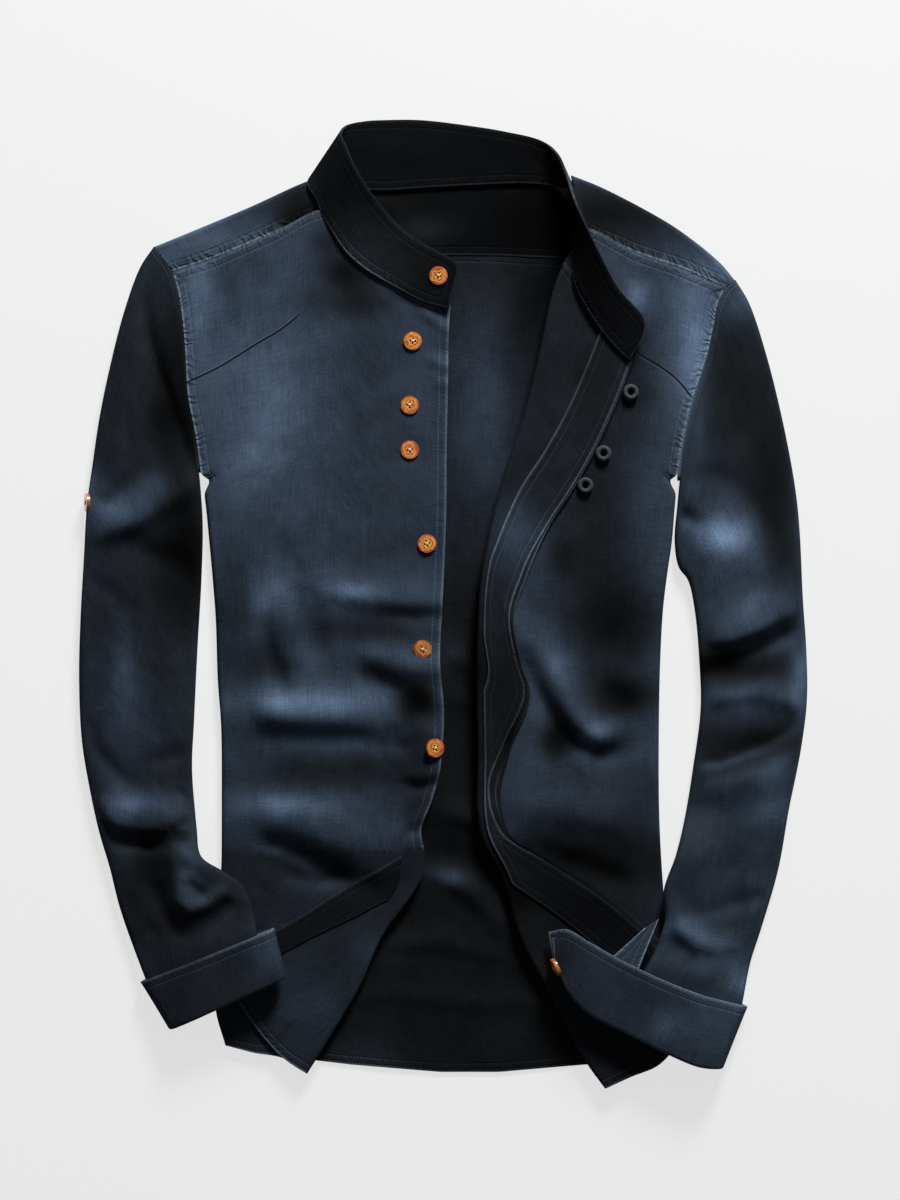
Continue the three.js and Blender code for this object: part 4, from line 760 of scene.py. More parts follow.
left_rows = np.concatenate([left_main_rows, half_roll, turned], axis=1)
chest_seam = [[188, 153], [178, 165], [165, 175], [150, 184], [144, 190]]
under_fold = np.arange(left_rows.shape[1])[None] < left_main_rows.shape[1]
left_line = line_side(left_rows, chest_seam, under_fold)
# Paler and darker places of the left front's turned part, partly fading and partly painted light and shade
TURNED_FADE_AND_SHADE = [
    [85, 140, 26, 90, 0.02], [58, 48, 22, 26, 0.25], [62, 0, 18, 20, 0.06], [42, -50, 26, 34, -0.22],
    [60, -104, 30, 30, -0.18], [60, -152, 26, 16, 0.06], [70, -215, 60, 34, -0.40],
    [86, 33, 10, 14, -0.14], [114, 168, 12, 12, -0.14], [60, -112, 14, 20, -0.16], [84, -102, 10, 12, -0.16],
    [76, -237, 26, 10, 0.14],
]
left_fade_and_shade = np.where(under_fold, fading_and_painted_shade(left_rows, FRONT_FADE_AND_SHADE), fading_and_painted_shade(left_rows, TURNED_FADE_AND_SHADE, 0.17))
LEFT_SEAMS = {"top": 0.5, "right": 0.1, "bottom": 0.3, "left": 0.7}
front_left, area = cloth_piece(
    "front_left_twill", [(left_rows, LEFT_SEAMS, left_line, left_fade_and_shade)], nodes=["front_left"])

# The back, one panel of twill below the yoke. It lies inside up, and its rows run between the edges of
# the fronts that are turned under it.
BACK_YOKE_SEAM = [[-206.5, 256], [-150, 258], [-60, 258], [60, 258], [150, 247], [205, 206]]
BACK_HEM = [
    [-161, -334.5], [-118, -343.5], [-67, -349.5], [0, -355], [45, -355], [115, -349], [187, -334],
]
SEAM_GAP = 0.3
ARMHOLE_GAP = 0.7
YOKE_LAP = 1.6
BACK_COLUMNS = 64
BACK_START = 2 * FINE
BACK_LIFT = 0.5
# The yoke seam's bow fades over the first of these parts, and the hem's drop grows over the last
BOW_PARTS = 4
BACK_FOLDS = [
    ([[-20, -203, 1.4], [-2, -206, 3], [14, -213, 3.4], [36, -230, 3], [52, -251, 1]], 12, 8),
    ([[-8, -160, 0], [4, -160, 2.4], [24, -164, 2.6], [30, -166, 1]], 12, 8),
    ([[0, -38, 0], [12, -44, 1.4], [26, -48, 1.2]], 10, 8),
    ([[4, -66, 0], [14, -74, 1.2], [26, -76, 0.8]], 8, 8),
    ([[-60, -252, 0], [-36, -258, 1.4], [-4, -256, 1.6], [40, -266, 0.8]], 9, 7),
    ([[-84, -300, 0], [-40, -296, 1], [20, -302, 1.4], [70, -300, 0.6]], 9, 8),
    ([[12, 250, 0], [6, 200, 0.8], [14, 120, 0.7], [20, 60, 0]], 10, 10),
    ([[60, 250, 0], [46, 200, 0.9], [34, 140, 0.7], [26, 90, 0]], 10, 10),
]


def along_rows(rows, x, key, value):
    order = np.array(rows, float)
    return np.interp(x, order[:, key], order[:, value])


def side_x(outline, y):
    return along_rows(outline[::-1], y, 1, 0)


back_seam = smooth_line(BACK_YOKE_SEAM)
seam_ends = back_seam([0, 1])
across = np.linspace(0, 1, BACK_COLUMNS + 1)
seam_bow = back_seam(across)[:, 1] - mix(seam_ends[0, 1], seam_ends[1, 1], across)
right_edge = np.concatenate([right_upper_rows, right_lower_rows[1:]])[BACK_START:, 0, :2]
left_edge = left_rows[BACK_START:, 0, :2]
down = np.linspace(0, 1, len(right_edge))
right_edge = right_edge + [SEAM_GAP, 0]
left_edge = left_edge - [SEAM_GAP, 0]
top_share = np.linspace(0, 1, BACK_START + 1)[:-1, None]
top_right = mix(seam_ends[0], right_edge[0], top_share)
top_left = mix(seam_ends[1], left_edge[0], top_share)
top_right[:, 0] = side_x(RIGHT_SIDE, top_right[:, 1]) + ARMHOLE_GAP
top_left[:, 0] = side_x(LEFT_SIDE, top_left[:, 1]) - ARMHOLE_GAP
right_edge = np.concatenate([top_right, right_edge])
left_edge = np.concatenate([top_left, left_edge])
down = np.concatenate([np.zeros(BACK_START), down])[:, None]
back_plan = mix(right_edge[:, None], left_edge[:, None], across[None, :, None])
corners = plateau(across, 0, 0.1, 0.9, 1)
hem_line = along_rows(BACK_HEM, back_plan[-1, :, 0], 0, 1)
hem_drop = (hem_line - mix(right_edge[-1, 1], left_edge[-1, 1], across)) * corners
bow_share = 1 - np.clip(down * BOW_PARTS, 0, 1)
drop_share = np.clip(down * BOW_PARTS - (BOW_PARTS - 1), 0, 1)
back_plan[..., 1] += seam_bow * bow_share + hem_drop * drop_share
back_x, back_y = back_plan[..., 0], back_plan[..., 1]
inside = plateau(across, 0.03, 0.2, 0.8, 0.97)
lifts = fold_height(back_x, back_y, BACK_FOLDS) + BACK_LIFT * (1 + wrinkles(back_x, back_y, 21)) * inside
back_rows = with_height(back_plan, MIDDLE + lifts)
# Its top edge lies under the yoke's, which is felled over it
back_rows[0, :, 1] += YOKE_LAP
# Paler and darker places of the back, partly fading and partly painted light and shade
BACK_FADE_AND_SHADE = [
    [36, 130, 24, 100, 0.08], [34, 150, 25, 110, 0.26], [0, 130, 22, 130, 0.14], [80, 225, 26, 36, -0.20],
    [32, -50, 18, 50, -0.18],
    [75, 160, 22, 80, 0.06], [6, -38, 12, 20, 0.16],
    [6, -209, 26, 9, 0.22], [52, -200, 40, 44, -0.12], [-60, -335, 40, 18, 0.08],
    [6, -210, 14, 9, 0.16], [6, -183, 12, 10, -0.16], [-60, -345, 28, 12, 0.13], [-34, -264, 18, 12, 0.13],
    [36, -237, 18, 12, 0.12],
]
# The back's inside is darker all over: painted shade, with the deeper dye of the cloth's inside
back_fade_and_shade = fading_and_painted_shade(back_rows, BACK_FADE_AND_SHADE, 0.07, 0.03)
back_panel = (back_rows, {"top": 0.3, "bottom": 0.3}, None, back_fade_and_shade)
back, area = cloth_piece("back_twill", [back_panel], nodes=["back"])

# The yoke, a shaped strip of twill over the back neck that folds forward over both shoulders to meet
# the fronts. It is flat rows up to its ridge, and then a roll and laid rows over each shoulder.
RIGHT_SHOULDER = [[-214, 265], [-180, 279], [-142, 295], [-105, 312], [-91.5, 317]]
LEFT_SHOULDER = [[98.5, 318.5], [120, 310], [157, 291], [180, 277], [210, 253], [221, 240]]
BACK_NECK = [[-91.5, 317], [-56, 312], [0, 316], [45, 318], [98.5, 318.5]]
SHOULDER_COLUMNS = 56
NECK_COLUMNS = 64
FLAT_ROWS = 22
ARM_ROWS = 10
YOKE_SIDE_GAP = 0.1
YOKE_STEP = 0.15
YOKE_LIFT = 0.45
SHOULDER_LIFT = 0.35
right_ridge = smooth_line(RIGHT_SHOULDER)(np.linspace(0, 1, SHOULDER_COLUMNS + 1))
left_ridge = smooth_line(LEFT_SHOULDER)(np.linspace(0, 1, SHOULDER_COLUMNS + 1))
neck_ridge = smooth_line(BACK_NECK)(np.linspace(0, 1, NECK_COLUMNS + 1)[1:-1])
ridge = np.concatenate([right_ridge, neck_ridge, left_ridge])
foot = back_seam((ridge[:, 0] - ridge[0, 0]) / (ridge[-1, 0] - ridge[0, 0])) + [0, SEAM_GAP]
is_arm = np.ones(len(ridge), bool)
is_arm[SHOULDER_COLUMNS + 1:-SHOULDER_COLUMNS - 1] = False
inward = (foot - ridge) / length_of(foot - ridge)
top = ridge + inward * SIDE_ROLL * is_arm[:, None]
shares = np.linspace(0, 1, FLAT_ROWS + 1)[:, None]
flat_plan = mix(foot[None], top[None], shares[..., None])
flat_plan[:, 0, 0] = side_x(RIGHT_SIDE, flat_plan[:, 0, 1]) + YOKE_SIDE_GAP
flat_plan[:, -1, 0] = side_x(LEFT_SIDE, flat_plan[:, -1, 1]) - YOKE_SIDE_GAP
within = plateau(shares, 0.04, 0.3, 0.7, 0.96)
yoke_lift = YOKE_LIFT * (1 + wrinkles(flat_plan[..., 0], flat_plan[..., 1], 33)) * within
yoke_flat = with_height(flat_plan, MIDDLE + yoke_lift)
yoke_flat[0, :, 2] += CLOTH + YOKE_STEP
# Paler and darker places of the yoke, partly fading and partly painted light and shade
YOKE_FADE_AND_SHADE = [
    [-8, 281, 28, 12, 0.16], [10, 250, 34, 9, 0.16], [75, 270, 40, 30, -0.16], [-60, 280, 20, 30, -0.04],
    [0, 316, 70, 4, 0.10], [-14, 276, 24, 10, 0.12], [-44, 303, 16, 10, 0.14], [74, 290, 26, 24, -0.18],
]
# The yoke's inside is darker all over: painted shade under the collar
yoke_panels = [(yoke_flat, {"top": 0.2, "bottom": 0.3}, None, fading_and_painted_shade(yoke_flat, YOKE_FADE_AND_SHADE, -0.1))]
# Paler and darker places over the shoulders, partly fading and partly painted light and shade
SHOULDER_FADE_AND_SHADE = [
    [-168, 272, 50, 16, 0.14], [128, 290, 44, 20, -0.38], [200, 246, 26, 16, 0.18],
    [-104, 288, 18, 26, -0.34],
    [-205, 256, 20, 12, 0.10], [-102, 278, 14, 13, -0.22], [-98, 276, 16, 13, -0.18],
]
for first, seam_line, turned_share in ((0, RIGHT_YOKE_SEAM, 1), (-SHOULDER_COLUMNS - 1, LEFT_YOKE_SEAM, -1)):
    own = slice(first, first + SHOULDER_COLUMNS + 1 or None)
    share = np.linspace(0, 1, SHOULDER_COLUMNS + 1)[::turned_share]
    target = smooth_line(seam_line)(share)
    crest = ridge[own]
    inward = (target - crest) / length_of(target - crest)
    turns = np.linspace(0, math.pi, ROLL_STEPS + 1)[1:, None, None]
    roll_height = MIDDLE + SIDE_ROLL * (1 - np.cos(turns[..., 0]))
    rolls = with_height(crest + inward * SIDE_ROLL * (1 - np.sin(turns)), roll_height)
    rise = np.linspace(0, 1, ARM_ROWS + 1)[1:, None, None]
    laid = mix(rolls[-1][None, :, :2], (target + [0, 2 * SEAM_GAP])[None], rise)
    within = plateau(rise[..., 0], 0, 0.3, 0.6, 1)
    lift = SHOULDER_LIFT * (1 + wrinkles(laid[..., 0], laid[..., 1], 37)) * within
    laid = with_height(laid, MIDDLE + 2 * SIDE_ROLL + lift)
    arm = np.concatenate([yoke_flat[-1:, own], rolls, laid])
    yoke_panels.append((arm, {"bottom": 0.8}, None, fading_and_painted_shade(arm, SHOULDER_FADE_AND_SHADE, 0.38)))
yoke, area = cloth_piece("yoke_twill", yoke_panels, nodes=["yoke"])

# The sleeves, each one panel of twill sewn into a tube and set into its armhole. They lie flattened
# beside the body, and their lower ends lie on its corners. Each is a row of rings with its creases.
RIGHT_SLEEVE_OUTER = [
    [-214, 265], [-224, 250], [-236, 217], [-247.5, 172], [-255, 135], [-260, 101], [-264, 72],
    [-266.5, 30], [-269, -15], [-270, -60], [-268, -105], [-262, -142], [-255, -174], [-247, -201],
    [-240, -229], [-232, -253], [-221, -281], [-217.5, -290],
]
RIGHT_SLEEVE_INNER = [
    [-181, 96], [-179, 75], [-178, 52], [-179, 15], [-182, -37], [-184.5, -90], [-186, -128],
    [-182, -172], [-178, -192], [-160, -204], [-147, -214], [-139, -234], [-135.5, -254.5],
]
LEFT_SLEEVE_OUTER = [
    [221, 240], [231, 223], [244, 184], [257, 131], [266, 82], [269, 52], [271.5, 0], [274, -37],
    [274.5, -75], [270, -112], [261, -157], [253, -202], [240, -247], [232, -272], [224.5, -308],
]
LEFT_SLEEVE_INNER = [
    [180, 90], [178, 70], [176, 44], [179, 25], [186, 15], [191, -7], [194.5, -45], [195.5, -82],
    [190, -125], [184, -161], [176, -191], [167, -217], [167.5, -240], [160, -262], [152, -277],
]
SLEEVE_LOFT = 3.5
SLEEVE_RISE = 3.2
SLEEVE_WRINKLE = 0.9
BED_HEIGHT = 11.6
SLEEVE_RINGS = 224
RIGHT_SLEEVE_FOLDS = [
    ([[-214, 258, -1], [-221, 228, -4], [-218, 196, -4.8], [-210, 169, -5], [-201, 146, -5.4],
      [-191, 120, -5],
      [-184, 104, -3]], 6, 8),
    ([[-206, 240, 0], [-204, 205, 1.4], [-198, 170, 1.6], [-192, 140, 1]], 6, 6),
    ([[-238, 200, 0], [-240, 170, 1.4], [-238, 150, 0.8]], 9, 9),
    ([[-236, 136, 1.2], [-242, 116, 2.6], [-246, 102, 1.6]], 7, 7),
    ([[-231, 145, 0], [-234, 132, -2.4], [-236, 120, -1]], 4, 4),
    ([[-264, 74, -2], [-248, 75, -3], [-236, 85, -2.6], [-224, 98, -1]], 5, 5),
    ([[-266, 44, 3], [-244, 52, 6], [-225, 60, 7.2], [-206, 72, 6.8], [-182, 85, 4]], 17, 7),
    ([[-240, 44, -2], [-218, 36, -3.8], [-196, 28, -4.4], [-180, 18, -3]], 10, 12),
    ([[-264, 14, -1.4], [-247, 8, -2], [-233, -8, -2], [-229, -30, -0.6]], 7, 8),
    ([[-250, -10, 0], [-244, -40, 1.4], [-240, -70, 1.2], [-242, -96, 0]], 10, 12),
    ([[-205, -20, 0], [-204, -50, 1.2], [-206, -84, 1.2], [-208, -100, 0]], 12, 12),
    ([[-268, -88, -1], [-256, -114, -2.8], [-240, -132, -2.8], [-228, -140, -0.8]], 7, 7),
    ([[-218, -122, -1], [-200, -117, -3], [-184, -114, -2.6]], 8, 6),
    ([[-268, -138, 1.6], [-256, -154, 5], [-240, -167, 7], [-218, -170, 7], [-199, -165, 6],
      [-184, -150, 3]], 19, 6),
    ([[-194, -144, -1.6], [-188, -150, -1.6]], 4, 4),
    ([[-250, -180, -2], [-226, -184, -3], [-202, -183, -3.4], [-184, -178, -2.6]], 5, 6),
    ([[-200, -186, 4], [-196, -208, 5], [-194, -224, 5.6], [-186, -231, 5.8], [-174, -227, 5.2],
      [-160, -217, 4.4],
      [-152, -222, 3]], 6, 6),
    ([[-188, -192, 2.4], [-178, -198, 1.6], [-168, -206, 1]], 8, 6),
    ([[-186, -213, -3], [-178, -219, -3]], 5, 5),
    ([[-218, -186, -3.4], [-216, -210, -3.4], [-206, -235, -4.6], [-195, -250, -5.8], [-180, -253, -5.8],
      [-166, -240, -4.8], [-156, -226, -2.6]], 8, 7),
    ([[-238, -250, 2], [-222, -258, 3.6], [-206, -266, 2]], 8, 7),
    ([[-236, -206, 0], [-226, -226, 1.4], [-222, -240, 0.6]], 8, 8),
    ([[-160, -232, 0], [-150, -240, 2.4], [-146, -250, 1.4]], 8, 6),
]
LEFT_SLEEVE_FOLDS = [
    ([[226, 214, 0], [222, 190, -2], [220, 160, -2], [226, 128, -1]], 10, 9),
    ([[190, 94, -1.4], [210, 92, -2.8], [230, 78, -3], [244, 54, -2.8], [252, 30, -2]], 9, 12),
    ([[184, 46, 2], [206, 44, 6], [226, 36, 6.2], [236, 22, 4], [240, 6, 1]], 18, 16),
    ([[178, 66, -4], [184, 62, -5.4], [192, 58, -2]], 5, 5),
    ([[262, 80, 0], [264, 50, 1.2], [268, 20, 1], [268, -2, 0]], 6, 5),
    ([[196, -30, 4], [217, -29, 7], [240, -20, 7], [256, -11, 5.6], [274, -4, 3.4]], 16, 6),
    ([[194, -52, -3.6], [217, -48, -5.2], [240, -38, -4.8], [259, -27, -4.6], [270, -22, -3]], 6, 7),
    ([[194, -76, 3.6], [217, -71, 5], [240, -69, 5], [262, -75, 3.6], [274, -82, 2]], 11, 8),
    ([[188, -122, -3.4], [210, -121, -4.4], [229, -113, -4.2], [248, -106, -4], [263, -97, -3.6],
      [276, -90, -3]], 9, 4),
    ([[188, -142, 2.6], [212, -140, 4.6], [240, -134, 4.6], [266, -122, 3]], 9, 16),
    ([[210, -176, 0], [226, -186, 1.2], [240, -192, 0.8]], 10, 10),
    ([[194, -234, -1.6], [221, -227, -2.6], [248, -223, -2.4]], 8, 6),
    ([[164, -222, 3], [175, -243, 5.4], [190, -257, 5.6], [210, -261, 3.4]], 11, 7),
    ([[176, -271, -1.6], [195, -274, -2], [206, -276, -1]], 5, 5),
    ([[236, -232, 1], [230, -250, 1.6], [224, -268, 1]], 6, 6),
]
# Paler and darker places of the right sleeve, partly fading and partly painted light and shade
RIGHT_SLEEVE_FADE_AND_SHADE = [
    [-204, 170, 15, 40, -0.14], [-195, 50, 14, 34, -0.18], [-197, 148, 17, 62, -0.24],
    [-212, 240, 16, 20, 0.04], [-236, 72, 42, 16, 0.14], [-196, 26, 24, 38, -0.24],
    [-236, -78, 18, 56, 0.12], [-190, -72, 16, 40, 0.05], [-225, -150, 36, 11, 0.16],
    [-218, -198, 22, 26, -0.18],
    [-188, -200, 9, 26, 0.20], [-206, -242, 24, 12, -0.14], [-264, 10, 8, 170, 0.06],
    [-236, 58, 30, 14, 0.10],
    [-226, -154, 32, 10, 0.12],
    [-186, 141, 8, 16, -0.22], [-212, 87, 14, 14, 0.16], [-262, 87, 8, 16, 0.12], [-237, -75, 16, 40, 0.10],
    [-212, -102, 12, 14, 0.06], [-204, 138, 10, 14, -0.18], [-185, 116, 8, 14, -0.18],
    [-186, 32, 10, 36, -0.14],
    [-250, 75, 16, 22, 0.08], [-237, -48, 12, 12, 0.08], [-237, -156, 12, 12, 0.11],
    [-237, -190, 12, 22, 0.13],
    [-186, -208, 10, 12, 0.10],
]
# Paler and darker places of the left sleeve, partly fading and partly painted light and shade
LEFT_SLEEVE_FADE_AND_SHADE = [
    [226, 158, 26, 58, -0.20], [222, 222, 12, 14, 0.18], [248, 92, 17, 42, -0.24], [212, 48, 24, 24, 0.16],
    [254, 40, 12, 40, -0.14], [222, -6, 24, 22, 0.10], [208, -48, 28, 8, -0.26], [269, -62, 9, 32, 0.20],
    [232, -104, 42, 9, -0.22], [184, -246, 18, 16, 0.18], [270, 110, 7, 60, 0.16], [222, 48, 26, 30, 0.16],
    [242, 2, 22, 20, 0.14], [228, -75, 40, 9, 0.16], [206, -52, 24, 8, -0.14], [192, 158, 8, 60, 0.14],
    [208, -48, 26, 7, -0.16], [240, -158, 30, 14, 0.16],
    [204, -262, 22, 14, 0.14], [240, -215, 20, 26, 0.08],
    [212, -48, 20, 10, -0.18], [205, 42, 20, 18, 0.14], [222, -75, 14, 9, 0.10], [272, -48, 6, 16, 0.12],
    [249, -129, 14, 12, 0.10], [208, -264, 18, 12, 0.10], [168, -237, 10, 12, 0.14],
    [242, 236, 16, 18, 0.18], [246, -48, 13, 10, -0.14], [249, -142, 14, 20, 0.09], [225, -286, 12, 15, 0.24],
]


def bed_height(x, y):
    """Where a sleeve's end and a cuff lie on the body's corner they are lifted by its layers."""
    down = 1 - ease(y, -196, -150)
    across = np.where(x < 0, ease(x, -222, -176), 1 - ease(x, 190, 229))
    return BED_HEIGHT * down * across


TOP_STEPS = 44
BOTTOM_STEPS = 30


def tube_ring(outer, inner, roll, base, top_height, bulge=None, top=TOP_STEPS, bottom=BOTTOM_STEPS):
    """One ring round a flattened tube: over the top, round the inner edge, back beneath, and up."""
    width = float(np.linalg.norm(inner - outer))
    direction = (inner - outer) / width
    turns = np.linspace(0, math.pi, 9)[1:-1]
    rows = [(along, 2 * roll) for along in np.linspace(roll, width - roll, top + 1)]
    rows += [(width - roll + roll * math.sin(t), roll + roll * math.cos(t)) for t in turns]
    rows += [(along, 0.0) for along in np.linspace(width - roll, roll, bottom + 1)]
    rows += [(roll - roll * math.sin(t), roll + roll * math.cos(t)) for t in turns[::-1]]
    along, height = np.array(rows + rows[:1]).T
    plan = outer + direction * along[:, None]
    if bulge:
        plan = plan + bulge(along / width)
    x, y = plan.T
    lift = np.where(height > roll, top_height(x, y, along / width), 0)
    return with_height(plan, base + bed_height(x, y) + height + lift)


TUCK_IN = 2.4
TUCK_CLOSE = 1.5


def sleeve(name, nodes, outer_points, inner_points, armhole_points, folds, fade_and_shade_places, outward):
    """One sleeve from its outlines, made of rings. Outward is -1 for the right one and 1 for the left one."""
    outer, inner, armhole = (smooth_line(rows) for rows in (outer_points, inner_points, armhole_points))
    ends = armhole([0, 1])
    rings = []
    for along in np.linspace(0, 1, SLEEVE_RINGS + 1):
        loft = SLEEVE_LOFT * float(plateau(along, 0, 0.12, 0.9, 1))
        free = float(plateau(along, 0, 0.08, 0.9, 0.98))

        def bulge(share, along=along):
            inside = np.clip(share, 0, 1)[:, None]
            bowed = armhole(inside[:, 0]) - mix(ends[0], ends[1], inside)
            return bowed * (1 - float(ease(along, 0, 0.16))) + [outward * ARMHOLE_GAP, 0]

        def top_height(x, y, share, loft=loft, free=free):
            middle = np.sin(math.pi * np.clip(share, 0, 1))
            creases = FOLD_DEPTH * fold_height(x, y, folds)
            creases = creases + SLEEVE_WRINKLE * wrinkles(x, y, 56 + 5 * outward)
            return loft * middle**0.7 + creases * free * ease(middle, 0, 0.5)

        base = MIDDLE + SLEEVE_RISE * float(ease(along, 0.93, 0.985))
        rings.append(tube_ring(outer(along), inner(along), SIDE_ROLL, base, top_height, bulge))
    # The seam allowance is tucked in at the armhole, so that the seam is closed
    tucked = rings[0] - [outward * TUCK_IN, 0, 0]
    middle_height = MIDDLE + SIDE_ROLL
    tucked[:, 2] -= np.clip(tucked[:, 2] - middle_height, -TUCK_CLOSE, TUCK_CLOSE)
    grid = np.array([tucked] + rings)
    fade_and_painted_shade = fading_and_painted_shade(grid, fade_and_shade_places, 0.27 + 0.04 * outward)
    piece, area = cloth_piece(name, [(grid, {"top": 0.15}, None, fade_and_painted_shade)], nodes=nodes)


sleeve("sleeve_right_twill", ["sleeve_right", "sleeve_right_under"], RIGHT_SLEEVE_OUTER, RIGHT_SLEEVE_INNER,
       RIGHT_SIDE[:9], RIGHT_SLEEVE_FOLDS, RIGHT_SLEEVE_FADE_AND_SHADE, -1)
sleeve("sleeve_left_twill", ["sleeve_left", "sleeve_left_under"], LEFT_SLEEVE_OUTER, LEFT_SLEEVE_INNER,
       LEFT_SIDE[:9], LEFT_SLEEVE_FOLDS, LEFT_SLEEVE_FADE_AND_SHADE, 1)

# The collar, a doubled band of twill about 40 mm wide that stands on the neck seam and falls open. Its
# front ends are rounded, and it is stitched along its edges. It spans a foot line and a top line.
COLLAR_THICKNESS = 1.9
# Foot and top are x, y and height
COLLAR_BAND = [
    ([8, 223, 13.2], [14, 252, 13.2]), ([-11, 228, 13.4], [0, 260, 14.4]),
    ([-30, 238, 13.6], [-15, 268, 15]), ([-52, 251, 13.8], [-30, 279, 16.6]),
    ([-67, 264, 13.8], [-45, 296, 18]), ([-78, 280, 13.4], [-56, 311, 20]),
    ([-86, 294, 12], [-64.5, 326, 20]), ([-90.5, 305, 11.6], [-70, 339, 17]),
    ([-96.5, 316, 9.5], [-74, 350, 10.5]), ([-90, 324, 4.2], [-69, 357, 4]),
    ([-75, 316, 2.9], [-57, 360, 1.6]), ([-45, 313, 2.8], [-41, 361, 1.2]),
    ([-10, 315, 2.8], [-15, 361, 1.1]), ([30, 317, 2.8], [20, 357, 1.1]),
    ([60, 318, 2.8], [50, 352, 2]), ([83, 316, 3.2], [75, 345, 7]),
    ([98, 310, 7.5], [87, 334, 16]), ([102.5, 299, 11], [94, 317, 25]),
    ([104, 284, 11.4], [100, 297, 32]), ([102, 264, 13.5], [108, 279, 33]),
    ([104, 240, 17.5], [119, 257, 29]), ([117, 215, 18.2], [133, 232, 24]),
    ([130, 197, 18.2], [145, 219, 21]), ([144, 183, 18.2], [156, 207, 19.5]),
]
COLLAR_STEPS = 228
COLLAR_ROWS = 18
LEFT_CORNER_ROUND = 9
RIGHT_CORNER_ROUND = 3.5
COLLAR_LAP = 5
COLLAR_LIFT = 0.45
COLLAR_WIDTH = 40
band_steps = np.linspace(0, 1, COLLAR_STEPS + 1)
feet = smooth_line([foot for foot, top in COLLAR_BAND], even=False)(band_steps)
tops = smooth_line([top for foot, top in COLLAR_BAND], even=False)(band_steps)
top_run = np.concatenate([[0], np.cumsum(np.linalg.norm(np.diff(tops, axis=0), axis=1))])
band_width = length_of(tops - feet)[:, 0]
shortening = np.ones(len(band_steps))
for end_distance, corner in ((top_run, RIGHT_CORNER_ROUND), (top_run[-1] - top_run, LEFT_CORNER_ROUND)):
    inside = np.clip(end_distance / corner, 0, 1)
    shortening = np.minimum(shortening, 1 - corner * (1 - np.sqrt(1 - (1 - inside) ** 2)) / band_width)
up = np.linspace(0, 1, COLLAR_ROWS + 1)
# The foot laps over the neck's edge, so that the neck seam is closed
lapped = feet.copy()
outwards = tops[:, :2] - feet[:, :2]
lapped[:, :2] -= COLLAR_LAP * outwards / length_of(outwards)
collar_grid = mix(lapped[:, None], tops[:, None], (up[None] * shortening[:, None])[..., None])
along_band, up_band = np.meshgrid(top_run, up * COLLAR_WIDTH, indexing="ij")
collar_waves = soft_waves(along_band, up_band, 17, 71)
collar_grid[..., 2] += COLLAR_LIFT * collar_waves * np.sin(math.pi * up)[None]
# Paler and darker places of the collar, partly fading and partly painted light and shade
COLLAR_FADE_AND_SHADE = [
    [-62, 250, 52, 42, 0.36], [-108, 320, 18, 26, 0.24], [-40, 352, 50, 10, 0.10], [98, 310, 10, 40, 0.24],
    [148, 232, 10, 30, 0.04],
]
# The collar is darker all over: mostly painted shade inside the neck
collar_fade_and_shade = fading_and_painted_shade(collar_grid, COLLAR_FADE_AND_SHADE, -0.12, 0.01)
collar_twill = cloth_material("Slate twill collar", wear_and_highlight=1.8)
COLLAR_SEAMS = {"left": 0.3, "right": 0.2, "top": 0.15, "bottom": 0.2}
collar_panel = (collar_grid, COLLAR_SEAMS, None, collar_fade_and_shade)
collar, area = cloth_piece("collar_band", [collar_panel], COLLAR_THICKNESS, collar_twill, ["collar"], True)

# The cuffs, doubled bands of twill on the sleeves' ends and turned back over them, made of rings. The
# left one is unbuttoned, opens out towards the front and curls down at its end.
CUFF_THICKNESS = 1.9
CUFF_ROLL = 6.4
CUFF_NEST = 2.6
CUFF_SEAM_DEPTH = 0.2
RIGHT_CUFF = ([-224, -286], [-202.5, -320], [-124.5, -245], [-115.5, -280.5])
RIGHT_CUFF_INSIDE = ([-216.5, -292.5], [-199.8, -319], [-133.5, -257.5], [-118.5, -281.5])
LEFT_CUFF_FREE = [
    [81, -248], [94, -245.5], [112, -255], [135, -268], [169, -284], [195, -294], [230, -304.5],
]
LEFT_CUFF_TURNED = [
    [85, -268], [97, -292], [112, -307], [142, -322.5], [172, -337.5], [193, -346], [211.5, -349],
]
CUFF_LEVEL = 1
CUFF_WRINKLE = 0.8
INNER_RINGS = 15
OUTER_RINGS = 20
CUFF_TOP_STEPS = 36
CUFF_BOTTOM_STEPS = 26
# The rings that go round the turned edge, as shares of the width and of how far inside they lie
EDGE_SHARES = [1.005, 1.02, 1.015, 1.0]
EDGE_INSIDE = [0.85, 0.5, 0.2, 0.0]
# Each ring's share of the cuff's width, from inside it over the turned edge, and how far inside it lies
cuff_shares = np.concatenate([
    np.linspace(CUFF_SEAM_DEPTH, 0.98, INNER_RINGS), EDGE_SHARES, np.linspace(0.97, 0, OUTER_RINGS),
])
cuff_inside = np.concatenate([np.ones(INNER_RINGS), EDGE_INSIDE, np.zeros(OUTER_RINGS)])


def corner_mix(from_point, to_point, share):
    return mix(np.array(from_point, float), np.array(to_point, float), share)


def nested(inside):
    """A ring's roll and level: what lies inside the cuff is thinner and starts higher."""
    return CUFF_ROLL - CUFF_NEST * inside, CUFF_LEVEL + CUFF_NEST * inside


cuff_twill = cloth_material("Slate twill cuff", wear_and_highlight=1.7)
CUFF_SEAMS = {"top": 0.2, "bottom": 0.2}
